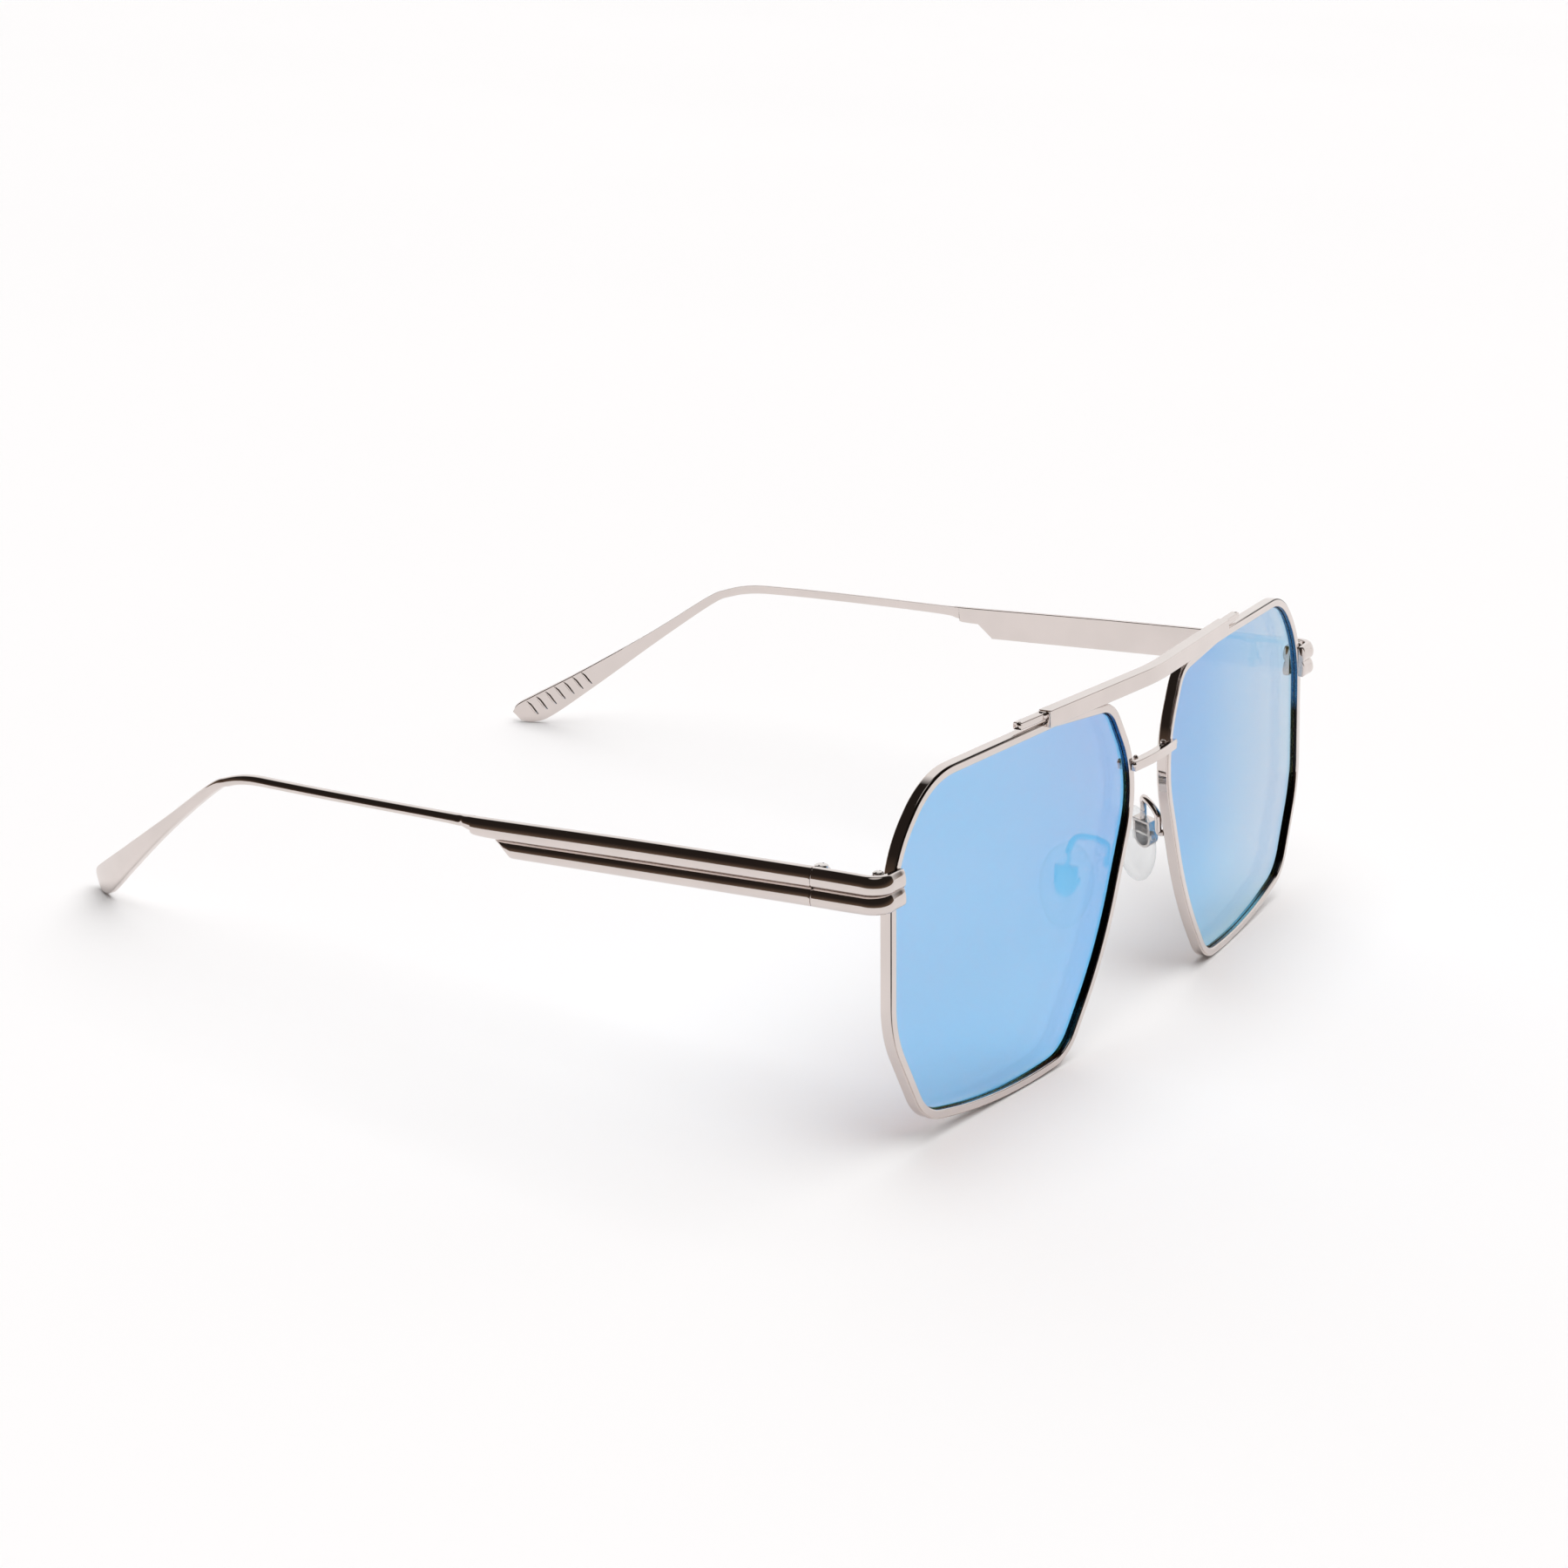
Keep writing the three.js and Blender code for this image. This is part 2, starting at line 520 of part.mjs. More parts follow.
for (const [sideName, side] of [['left', 1], ['right', -1]]) {
  const forSide = (geometry) => (side > 0 ? geometry : mirrored(geometry));
  const lensPlane = new THREE.Group();
  lensPlane.rotation.z = side * LENS_SWEEP;
  front.add(lensPlane);
  for (const [name, [geometry, material]] of Object.entries(inLensPlane)) {
    add(lensPlane, `${name}_${sideName}`, forSide(geometry), material);
  }
  for (const [name, [geometry, material]] of Object.entries(inFront)) {
    add(front, `${name}_${sideName}`, forSide(geometry), material);
  }
  for (const [name, [geometry, material]] of Object.entries(onPadFrame)) {
    add(glasses, `${name}_${sideName}`, forSide(geometry.clone().applyMatrix4(padFrame())), material);
  }
  add(glasses, `pad_arm_${sideName}`, forSide(padArmGeometry()), METAL);
}

// Stand the glasses on the table with the origin under the middle of their footprint.
glasses.updateMatrixWorld(true);
const bounds = new THREE.Box3().setFromObject(glasses, true);
const middle = bounds.getCenter(new THREE.Vector3());
glasses.position.set(-middle.x, -middle.y, -bounds.min.z);

export default glasses;
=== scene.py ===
"""Looks for a pair of full-rim metal aviator sunglasses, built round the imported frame.

All sizes here are in millimetres and turn into metres where a mesh is made.  Each side is drawn for the
wearer's left (+X) and mirrored for the right.
"""

from __future__ import annotations

import logging
import math
from collections.abc import Callable
from dataclasses import dataclass, field
from enum import Enum

import bmesh
import bpy
import numpy as np
from mathutils import Matrix, Vector


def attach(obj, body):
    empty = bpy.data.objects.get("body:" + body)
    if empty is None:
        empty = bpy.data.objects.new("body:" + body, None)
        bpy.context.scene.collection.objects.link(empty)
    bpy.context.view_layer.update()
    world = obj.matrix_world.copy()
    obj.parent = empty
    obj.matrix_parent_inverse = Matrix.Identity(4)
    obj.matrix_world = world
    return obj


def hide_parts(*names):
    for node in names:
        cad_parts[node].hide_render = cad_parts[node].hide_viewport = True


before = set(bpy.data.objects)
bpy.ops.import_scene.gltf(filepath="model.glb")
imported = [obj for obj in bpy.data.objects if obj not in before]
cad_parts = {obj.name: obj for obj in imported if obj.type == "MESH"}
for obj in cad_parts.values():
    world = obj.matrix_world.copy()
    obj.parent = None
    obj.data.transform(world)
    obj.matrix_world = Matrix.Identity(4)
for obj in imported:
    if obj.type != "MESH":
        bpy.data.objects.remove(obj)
log = logging.getLogger("sunglasses")

Colour = tuple[float, float, float]
Stops = tuple[tuple[float, Colour], ...]
Placer = Callable[[np.ndarray], np.ndarray]

MM = 0.001
LEAN = math.radians(4.7)  # the front leans back at its top
SWEEP = math.radians(4.65)  # each lens plane sweeps back from the centre
DATUM = np.array((0.0, -77.9327, 0.0112))  # where the front's own origin lies in the row frame
CENTRE_BLEND = 4.0  # half-width over which the V of the bars is rounded
FIT = 0.06  # clearance between fitted pieces
SHARP_EDGE = math.radians(38)  # edges sharper than this are shaded as edges
POLISHED, TURNED = "polished_metal", "screw_steel"  # the record's slots for the metal pieces


class Side(Enum):
    """The wearer's side; the value is the sign of X."""

    LEFT = 1
    RIGHT = -1

    @property
    def word(self) -> str:
        """The side's name as the nodes and pieces use it."""
        return self.name.lower()


# ---------------------------------------------------------------- placing


def on_front(points: np.ndarray) -> np.ndarray:
    """Leans points of the front back about the X axis and moves them to the row frame.

    Args:
        points: array (..., 3) of across, depth and up, in millimetres.

    Returns:
        The same points in the row frame, in millimetres.
    """
    x, depth, up = np.moveaxis(np.asarray(points, float), -1, 0)
    cos, sin = math.cos(LEAN), math.sin(LEAN)
    return np.stack([x, depth * cos + up * sin, up * cos - depth * sin], -1) + DATUM


def on_lens_plane(points: np.ndarray) -> np.ndarray:
    """Turns points of the left lens plane about the vertical by the sweep, then leans them.

    Args:
        points: array (..., 3) of across, depth behind the rim's face, up.

    Returns:
        The points in the row frame, in millimetres.
    """
    x, depth, up = np.moveaxis(np.asarray(points, float), -1, 0)
    cos, sin = math.cos(SWEEP), math.sin(SWEEP)
    return on_front(np.stack([x * cos - depth * sin, x * sin + depth * cos, up], -1))


def sweep_back(x: np.ndarray) -> np.ndarray:
    """Depth of the V of the two lens planes at x, with its point rounded by a parabola.

    Args:
        x: across positions.

    Returns:
        The depth at each position.
    """
    reach = np.abs(x)
    rounded = CENTRE_BLEND / 2 + reach**2 / (2 * CENTRE_BLEND)
    return math.tan(SWEEP) * np.where(reach > CENTRE_BLEND, reach, rounded)


# ---------------------------------------------------------------- curves


OPENING_CORNERS = (  # across, up, corner radius of the lens opening, counter-clockwise from the front
    (27.1, 49.6, 20.0),
    (11.9, 48.4, 4.6),
    (5.1, 37.1, 15.0),
    (14.2, 14.2, 55.0),
    (23.9, 2.0, 7.2),
    (41.4, 1.1, 100.0),
    (58.9, 4.8, 7.1),
    (65.9, 17.8, 15.0),
    (65.4, 40.4, 16.0),
    (56.9, 49.2, 12.0),
)


def opening_outline(offset: float, per_corner: int = 14) -> np.ndarray:
    """The rounded lens opening moved outwards: each corner is an arc of its radius plus the offset.

    Args:
        offset: how far the outline is moved out, in millimetres.
        per_corner: points on each arc.

    Returns:
        Array (10 * per_corner, 2) of across and up; point k is the same place for every offset.
    """
    table = np.array(OPENING_CORNERS)
    corner, radius = table[:, :2], table[:, 2]
    before = corner - np.roll(corner, 1, 0)
    before /= np.linalg.norm(before, axis=1, keepdims=True)
    after = np.roll(before, -1, 0)
    turn = np.arccos(np.clip((before * after).sum(1), -1, 1))
    inwards = np.stack([-before[:, 1], before[:, 0]], 1)
    centre = corner - before * (radius * np.tan(turn / 2))[:, None] + inwards * radius[:, None]
    start = np.arctan2(-inwards[:, 1], -inwards[:, 0])
    angle = start[:, None] + turn[:, None] * np.linspace(0, 1, per_corner)
    arm = np.stack([np.cos(angle), np.sin(angle)], -1) * (radius[:, None, None] + offset)
    return (centre[:, None] + arm).reshape(-1, 2)


def rounded_profile(corners: np.ndarray, radius: float, segments: int = 3,
                    guard: float = 0.04) -> np.ndarray:
    """A closed profile whose corners are arcs, with a guard point each side to keep the flats flat.

    Args:
        corners: array (n, 2).
        radius: rounding of every corner.
        segments: steps on each arc.
        guard: distance of the guard points from the arc's ends.

    Returns:
        Array (m, 2).
    """
    corners = np.asarray(corners, float)
    points = []
    for i, here in enumerate(corners):
        back = corners[i - 1] - here
        ahead = corners[(i + 1) % len(corners)] - here
        room = 0.42 * min(np.linalg.norm(back), np.linalg.norm(ahead))
        back, ahead = back / np.linalg.norm(back), ahead / np.linalg.norm(ahead)
        half = math.acos(float(np.clip(back @ ahead, -1, 1))) / 2
        reach = min(radius / math.tan(half), room)
        true_radius = reach * math.tan(half)
        middle = here + (back + ahead) / np.linalg.norm(back + ahead) * true_radius / math.sin(half)
        first, last = here + back * reach, here + ahead * reach
        share = np.linspace(0, 1, segments + 1)[:, None]
        chord = (first - middle) * (1 - share) + (last - middle) * share
        arc = middle + chord / np.linalg.norm(chord, axis=1, keepdims=True) * true_radius
        points += [here + back * (reach + guard), *arc, here + ahead * (reach + guard)]
    return np.array(points)


def spline(knots: np.ndarray, share: np.ndarray) -> np.ndarray:
    """Catmull-Rom curve through the knots, evenly spread over 0 to 1.

    Args:
        knots: array (n, k).
        share: places along the curve.

    Returns:
        Array (len(share), k).
    """
    knots = np.asarray(knots, float)
    padded = np.vstack([2 * knots[0] - knots[1], knots, 2 * knots[-1] - knots[-2]])
    place = np.clip(share, 0, 1) * (len(knots) - 1)
    cell = np.minimum(place.astype(int), len(knots) - 2)
    t = (place - cell)[:, None]
    a, b, c, d = (padded[cell + k] for k in range(4))
    return b + 0.5 * t * (c - a + t * (2 * a - 5 * b + 4 * c - d + t * (3 * (b - c) + d - a)))


def tube(path: np.ndarray, radius: np.ndarray, sides: int = 20) -> np.ndarray:
    """Circles carried along a path; each circle stands square to the path's direction.

    Args:
        path: array (n, 3).
        radius: one radius per point.
        sides: points on a circle.

    Returns:
        Array (n, sides, 3).
    """
    along = np.gradient(path, axis=0)
    along /= np.linalg.norm(along, axis=1, keepdims=True)
    normal = np.empty_like(along)
    first = np.cross(along[0], (0.31, 0.17, 0.94))
    normal[0] = first / np.linalg.norm(first)
    for i in range(1, len(path)):
        carried = normal[i - 1] - along[i] * (normal[i - 1] @ along[i])
        normal[i] = carried / np.linalg.norm(carried)
    other = np.cross(along, normal)
    angle = np.linspace(0, 2 * math.pi, sides, endpoint=False)
    cos, sin = np.cos(angle)[None, :, None], np.sin(angle)[None, :, None]
    ring = cos * normal[:, None] + sin * other[:, None]
    return path[:, None] + ring * np.asarray(radius)[:, None, None]


# ---------------------------------------------------------------- meshes


@dataclass
class Shell:
    """One closed surface: rows of points, each row a closed ring.

    Attributes:
        rows: array (m, n, 3) in millimetres, in the row frame.
        loop: True if the last row joins the first; otherwise both ends are closed by a fan.
        finish: index of the material for each band of faces between rows.
    """

    rows: np.ndarray
    loop: bool = False
    finish: np.ndarray | int = 0

    def geometry(self) -> tuple[np.ndarray, list[tuple[int, ...]], np.ndarray]:
        """Works out the vertices, faces and the material index of every face.

        Returns:
            Vertices (k, 3) in millimetres, faces as index tuples, material indices.
        """
        count, sides = self.rows.shape[:2]
        bands = count if self.loop else count - 1
        row, side = np.meshgrid(np.arange(bands), np.arange(sides), indexing="ij")
        above, beside = (row + 1) % count, (side + 1) % sides
        corners = ((row, side), (row, beside), (above, beside), (above, side))
        index = np.stack([r * sides + c for r, c in corners], -1)
        faces = [tuple(face) for face in index.reshape(-1, 4).tolist()]
        finish = np.broadcast_to(np.asarray(self.finish), (bands,))
        kinds = np.repeat(finish, sides)
        vertices = self.rows.reshape(-1, 3)
        if not self.loop:
            for end, at in ((0, len(vertices)), (count - 1, len(vertices) + 1)):
                ring = np.arange(sides) + end * sides
                order = np.roll(ring, -1) if end else ring
                other = ring if end else np.roll(ring, -1)
                faces += [(int(a), at, int(b)) for a, b in zip(order, other)]
                kinds = np.append(kinds, np.full(sides, finish[0 if end == 0 else -1]))
            vertices = np.vstack([vertices, self.rows[0].mean(0), self.rows[-1].mean(0)])
        return vertices, faces, kinds


@dataclass
class Piece:
    """One visible piece: its shells, its finishes and what it stands for."""

    name: str
    shells: list[Shell]
    finishes: list[bpy.types.Material]
    body: str
    nodes: tuple[str, ...]
    slot: str

    def build(self, side: Side | None = None) -> bpy.types.Object:
        """Makes the mesh, mirrored for the right side, and rides it on its body.

        Args:
            side: the side it belongs to, or None for a piece in the middle.

        Returns:
            The new object.
        """
        vertices, faces, kinds, total = [], [], [], 0
        for shell in self.shells:
            points, loops, kind = shell.geometry()
            vertices.append(points)
            faces += [tuple(i + total for i in loop) for loop in loops]
            kinds.append(kind)
            total += len(points)
        points = np.vstack(vertices) * MM
        if side is Side.RIGHT:
            points = points * (-1, 1, 1)
        mesh = bpy.data.meshes.new(self.name)
        mesh.from_pydata(points.tolist(), [], faces)
        for material in self.finishes:
            mesh.materials.append(material)
        mesh.polygons.foreach_set("material_index", np.concatenate(kinds).astype(np.int32))
        mesh.polygons.foreach_set("use_smooth", np.ones(len(faces), bool))
        face_out(mesh)
        mesh.set_sharp_from_angle(angle=SHARP_EDGE)
        made = bpy.data.objects.new(self.name, mesh)
        bpy.context.scene.collection.objects.link(made)
        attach(made, self.body)
        if self.nodes:
            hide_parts(*self.nodes)
        log.info("%s: %d faces, rides on %s", self.name, len(faces), self.body)
        return made


def face_out(mesh: bpy.types.Mesh) -> None:
    """Turns every closed shell of the mesh to face outwards.

    Args:
        mesh: the mesh to change.
    """
    work = bmesh.new()
    work.from_mesh(mesh)
    bmesh.ops.recalc_face_normals(work, faces=work.faces)
    work.to_mesh(mesh)
    work.free()


# ---------------------------------------------------------------- finishes


def new_material(name: str) -> tuple[bpy.types.Material, bpy.types.NodeTree, bpy.types.Node]:
    """Starts a material with nodes.

    Args:
        name: the material's name.

    Returns:
        The material, its node tree and its output node.
    """
    material = bpy.data.materials.new(name)
    material.use_nodes = True
    tree = material.node_tree
    tree.nodes.clear()
    return material, tree, tree.nodes.new("ShaderNodeOutputMaterial")


def noise(tree: bpy.types.NodeTree, scale: float, detail: float = 3.0) -> bpy.types.NodeSocket:
    """Noise on object coordinates.

    Args:
        tree: the node tree.
        scale: features per metre.
        detail: octaves.

    Returns:
        The socket of the noise's value.
    """
    place = tree.nodes.new("ShaderNodeTexCoord")
    texture = tree.nodes.new("ShaderNodeTexNoise")
    texture.inputs["Scale"].default_value = scale
    texture.inputs["Detail"].default_value = detail
    tree.links.new(place.outputs["Object"], texture.inputs["Vector"])
    return texture.outputs["Fac"]


def object_axes(tree: bpy.types.NodeTree) -> bpy.types.NodeOutputs:
    """Object coordinates, split into sockets named X, Y and Z.

    Args:
        tree: the node tree.

    Returns:
        The three sockets.
    """
    place = tree.nodes.new("ShaderNodeTexCoord")
    axes = tree.nodes.new("ShaderNodeSeparateXYZ")
    tree.links.new(place.outputs["Object"], axes.inputs["Vector"])
    return axes.outputs


def maths(tree: bpy.types.NodeTree, operation: str,
          *values: float | bpy.types.NodeSocket) -> bpy.types.NodeSocket:
    """A sum worked out by one Math node.

    Args:
        tree: the node tree.
        operation: Blender's name of the operation.
        values: its inputs in order, each a number or a socket.

    Returns:
        The output socket.
    """
    node = tree.nodes.new("ShaderNodeMath")
    node.operation = operation
    for socket, value in zip(node.inputs, values):
        if isinstance(value, float):
            socket.default_value = value
        else:
            tree.links.new(value, socket)
    return node.outputs["Value"]


def ramp(tree: bpy.types.NodeTree, source: bpy.types.NodeSocket, stops: Stops) -> bpy.types.NodeSocket:
    """A colour ramp fed by a value.

    Args:
        tree: the node tree.
        source: the value's socket.
        stops: position and linear colour of each stop.

    Returns:
        The socket of the ramp's colour.
    """
    node = tree.nodes.new("ShaderNodeValToRGB")
    elements = node.color_ramp.elements
    while len(elements) < len(stops):
        elements.new(0.5)
    for element, (position, colour) in zip(elements, stops):
        element.position = position
        element.color = (*colour, 1)
    tree.links.new(source, node.inputs["Fac"])
    return node.outputs["Color"]


def map_range(tree: bpy.types.NodeTree, source: bpy.types.NodeSocket, span: tuple[float, float],
              to: tuple[float, float] = (0.0, 1.0)) -> bpy.types.NodeSocket:
    """Carries a value from one range to another, clamped.

    Args:
        tree: the node tree.
        source: the value's socket.
        span: the range it comes in.
        to: the range it goes out.

    Returns:
        The output socket.
    """
    node = tree.nodes.new("ShaderNodeMapRange")
    node.inputs["From Min"].default_value, node.inputs["From Max"].default_value = span
    node.inputs["To Min"].default_value, node.inputs["To Max"].default_value = to
    tree.links.new(source, node.inputs["Value"])
    return node.outputs["Result"]


def mix_colours(tree: bpy.types.NodeTree, share: bpy.types.NodeSocket,
                first: Colour | bpy.types.NodeSocket,
                second: Colour | bpy.types.NodeSocket) -> bpy.types.NodeSocket:
    """Mixes two colours by a share; each is a linear colour or the socket of one.

    Args:
        tree: the node tree.
        share: socket of the second colour's share.
        first: colour at share 0.
        second: colour at share 1.

    Returns:
        The output socket.
    """
    node = tree.nodes.new("ShaderNodeMix")
    node.data_type = "RGBA"
    tree.links.new(share, node.inputs["Factor"])
    sockets = [socket for socket in node.inputs if socket.type == "RGBA"]
    for socket, colour in zip(sockets, (first, second)):
        if isinstance(colour, tuple):
            socket.default_value = (*colour, 1)
        else:
            tree.links.new(colour, socket)
    return next(socket for socket in node.outputs if socket.type == "RGBA")


def marked_gloss(tree: bpy.types.NodeTree, marks: bpy.types.NodeSocket,
                 gloss: tuple[float, float]) -> bpy.types.NodeSocket:
    """Roughness that wanders over a range with the fine marks."""
    return map_range(tree, marks, (0.3, 0.7), gloss)


@dataclass(frozen=True)
class MetalFinish:
    """Polished or turned metal: two close tones, a little uneven gloss and fine marks."""

    name: str
    light: Colour
    deep: Colour
    gloss: tuple[float, float]
    mark_scale: float = 2600.0
    mark_depth: float = 0.012
    mark_reach: float = 0.00002

    def build(self) -> bpy.types.Material:
        """Makes the material.

        Returns:
            The material.
        """
        material, tree, output = new_material(self.name)
        shader = tree.nodes.new("ShaderNodeBsdfPrincipled")
        shader.inputs["Metallic"].default_value = 1.0
        colour = ramp(tree, noise(tree, 140.0, 2.0), ((0.35, self.deep), (0.65, self.light)))
        marks = noise(tree, self.mark_scale, 5.0)
        bump = tree.nodes.new("ShaderNodeBump")
        bump.inputs["Strength"].default_value = self.mark_depth
        bump.inputs["Distance"].default_value = self.mark_reach
        tree.links.new(marks, bump.inputs["Height"])
        tree.links.new(colour, shader.inputs["Base Color"])
        tree.links.new(marked_gloss(tree, marks, self.gloss), shader.inputs["Roughness"])
        tree.links.new(bump.outputs["Normal"], shader.inputs["Normal"])
        tree.links.new(shader.outputs["BSDF"], output.inputs["Surface"])
        return material


@dataclass(frozen=True)
class MirrorLensFinish:
    """Mirror-coated lens: a blue mirror over a tint that lets a little warm light through.

    Attributes:
        lower: the mirror's colour along the bottom, a painted reflection.
        base: its colour over most of the lens.
        upper: its colour towards the top inner corner, a painted reflection.
        outer: its colour towards the outer edge, a painted reflection.
        tint: what light keeps when it passes through.
    """

    name: str
    side: Side
    lower: Colour = (0.15, 0.56, 0.97)
    base: Colour = (0.11, 0.49, 0.86)
    upper: Colour = (0.125, 0.43, 0.8)
    outer: Colour = (0.115, 0.49, 0.86)
    tint: Colour = (0.44, 0.23, 0.08)

    def build(self) -> bpy.types.Material:
        """Makes the material: the mirror's colour shifts with height and towards the lens's outer edge,
        as painted reflections.

        Returns:
            The material.
        """
        material, tree, output = new_material(self.name)
        axes = object_axes(tree)
        low = map_range(tree, axes["Z"], (0.002, 0.022))
        height = map_range(tree, axes["Z"], (0.008, 0.048))
        sign = self.side.value
        inner = map_range(tree, axes["X"], (sign * 0.052, sign * 0.008))
        edge = map_range(tree, axes["X"], (sign * 0.022, sign * 0.064))
        # Painted reflections: a lighter blue along the bottom, another tone towards the top inner corner
        # and towards the outer edge.
        colour = mix_colours(tree, low, self.lower, self.base)
        colour = mix_colours(tree, maths(tree, "MULTIPLY", height, inner), colour, self.upper)
        colour = mix_colours(tree, edge, colour, self.outer)
        coat = tree.nodes.new("ShaderNodeBsdfPrincipled")
        coat.inputs["Metallic"].default_value = 1.0
        coat.inputs["Roughness"].default_value = 0.03
        tree.links.new(colour, coat.inputs["Base Color"])
        through = tree.nodes.new("ShaderNodeBsdfTransparent")
        through.inputs["Color"].default_value = (*self.tint, 1)
        both_ways = tree.nodes.new("ShaderNodeAddShader")
        tree.links.new(through.outputs["BSDF"], both_ways.inputs[0])
        tree.links.new(coat.outputs["BSDF"], both_ways.inputs[1])
        tree.links.new(both_ways.outputs["Shader"], output.inputs["Surface"])
        return material


@dataclass(frozen=True)
class SiliconeFinish:
    """Clear soft silicone with a faintly clouded body."""

    name: str = "clear_silicone"
    light: Colour = (0.93, 0.95, 0.96)
    deep: Colour = (0.86, 0.89, 0.91)
    clear: Colour = (0.97, 0.975, 0.975)
    gloss: tuple[float, float] = (0.1, 0.2)
    body: tuple[float, float] = (0.03, 0.5)  # how much of the body shows face on, and at its edges

    def build(self) -> bpy.types.Material:
        """Makes the material.

        Returns:
            The material.
        """
        material, tree, output = new_material(self.name)
        shader = tree.nodes.new("ShaderNodeBsdfPrincipled")
        cloud = noise(tree, 420.0, 3.0)
        colour = ramp(tree, cloud, ((0.3, self.deep), (0.7, self.light)))
        through = tree.nodes.new("ShaderNodeBsdfTransparent")
        through.inputs["Color"].default_value = (*self.clear, 1)
        grazing = tree.nodes.new("ShaderNodeLayerWeight")
        grazing.inputs["Blend"].default_value = 0.3
        share = map_range(tree, grazing.outputs["Facing"], (0.0, 1.0), self.body)
        mix = tree.nodes.new("ShaderNodeMixShader")
        tree.links.new(share, mix.inputs["Fac"])
        tree.links.new(colour, shader.inputs["Base Color"])
        tree.links.new(marked_gloss(tree, cloud, self.gloss), shader.inputs["Roughness"])
        tree.links.new(through.outputs["BSDF"], mix.inputs[1])
        tree.links.new(shader.outputs["BSDF"], mix.inputs[2])
        tree.links.new(mix.outputs["Shader"], output.inputs["Surface"])
        return material


@dataclass(frozen=True)
class ZonedMetalFinish:
    """Metal whose tone changes with its place; here it paints shade and reflections.

    The level is the height plus a share of the reach from the middle.

    Attributes:
        fall: share of the reach across that counts towards the level.
        span: level, in metres, at which the last stop lies.
        stops: place on the span and linear colour of each tone.
        gloss: range of roughness.
    """

    name: str
    fall: float
    span: float
    stops: Stops
    gloss: tuple[float, float] = (0.2, 0.3)

    def build(self) -> bpy.types.Material:
        """Makes the material.

        Returns:
            The material.
        """
        material, tree, output = new_material(self.name)
        axes = object_axes(tree)
        reach = maths(tree, "ABSOLUTE", axes["X"])
        level = maths(tree, "MULTIPLY_ADD", reach, self.fall, axes["Z"])
        colour = ramp(tree, map_range(tree, level, (0.0, self.span)), self.stops)
        shader = tree.nodes.new("ShaderNodeBsdfPrincipled")
        shader.inputs["Metallic"].default_value = 1.0
        rough = marked_gloss(tree, noise(tree, 2600.0, 4.0), self.gloss)
        tree.links.new(colour, shader.inputs["Base Color"])
        tree.links.new(rough, shader.inputs["Roughness"])
        tree.links.new(shader.outputs["BSDF"], output.inputs["Surface"])
        return material


PAINTED_SHADE_BLACK, PAINTED_PALE_REFLECTION, PAINTED_DARK_REFLECTION = (0.022, 0.019, 0.019), (0.16, 0.42, 0.5), (0.05, 0.15, 0.29)
PAINTED_INNER_WALL_STOPS: Stops = (  # painted shade in near black, a painted pale blue reflection in a corner low down, a painted dark blue reflection high up
    (0.0, PAINTED_SHADE_BLACK), (0.12, PAINTED_SHADE_BLACK), (0.15, PAINTED_PALE_REFLECTION), (0.19, PAINTED_PALE_REFLECTION), (0.22, PAINTED_SHADE_BLACK),
    (0.78, PAINTED_SHADE_BLACK), (0.83, PAINTED_DARK_REFLECTION), (1.0, PAINTED_DARK_REFLECTION),
)
PLAIN_METAL = (0.71, 0.64, 0.61)
CREASE_STOPS: Stops = (  # plain metal, turning dark towards the upper outer corners as a painted dark reflection
    (0.0, PLAIN_METAL), (0.68, PLAIN_METAL), (0.76, (0.05, 0.04, 0.035)), (1.0, (0.03, 0.024, 0.02)),
)


@dataclass(frozen=True)
class TableFinish:
    """Smooth white table top."""

    name: str = "white_table"
    light: Colour = (0.935, 0.93, 0.93)
    deep: Colour = (0.925, 0.92, 0.92)

    def build(self) -> bpy.types.Material:
        """Makes the material.

        Returns:
            The material.
        """
        material, tree, output = new_material(self.name)
        shader = tree.nodes.new("ShaderNodeBsdfPrincipled")
        colour = ramp(tree, noise(tree, 3.0, 2.0), ((0.3, self.deep), (0.7, self.light)))
        shader.inputs["Roughness"].default_value = 0.6
        shader.inputs["Specular IOR Level"].default_value = 0.1
        tree.links.new(colour, shader.inputs["Base Color"])
        tree.links.new(shader.outputs["BSDF"], output.inputs["Surface"])
        return material


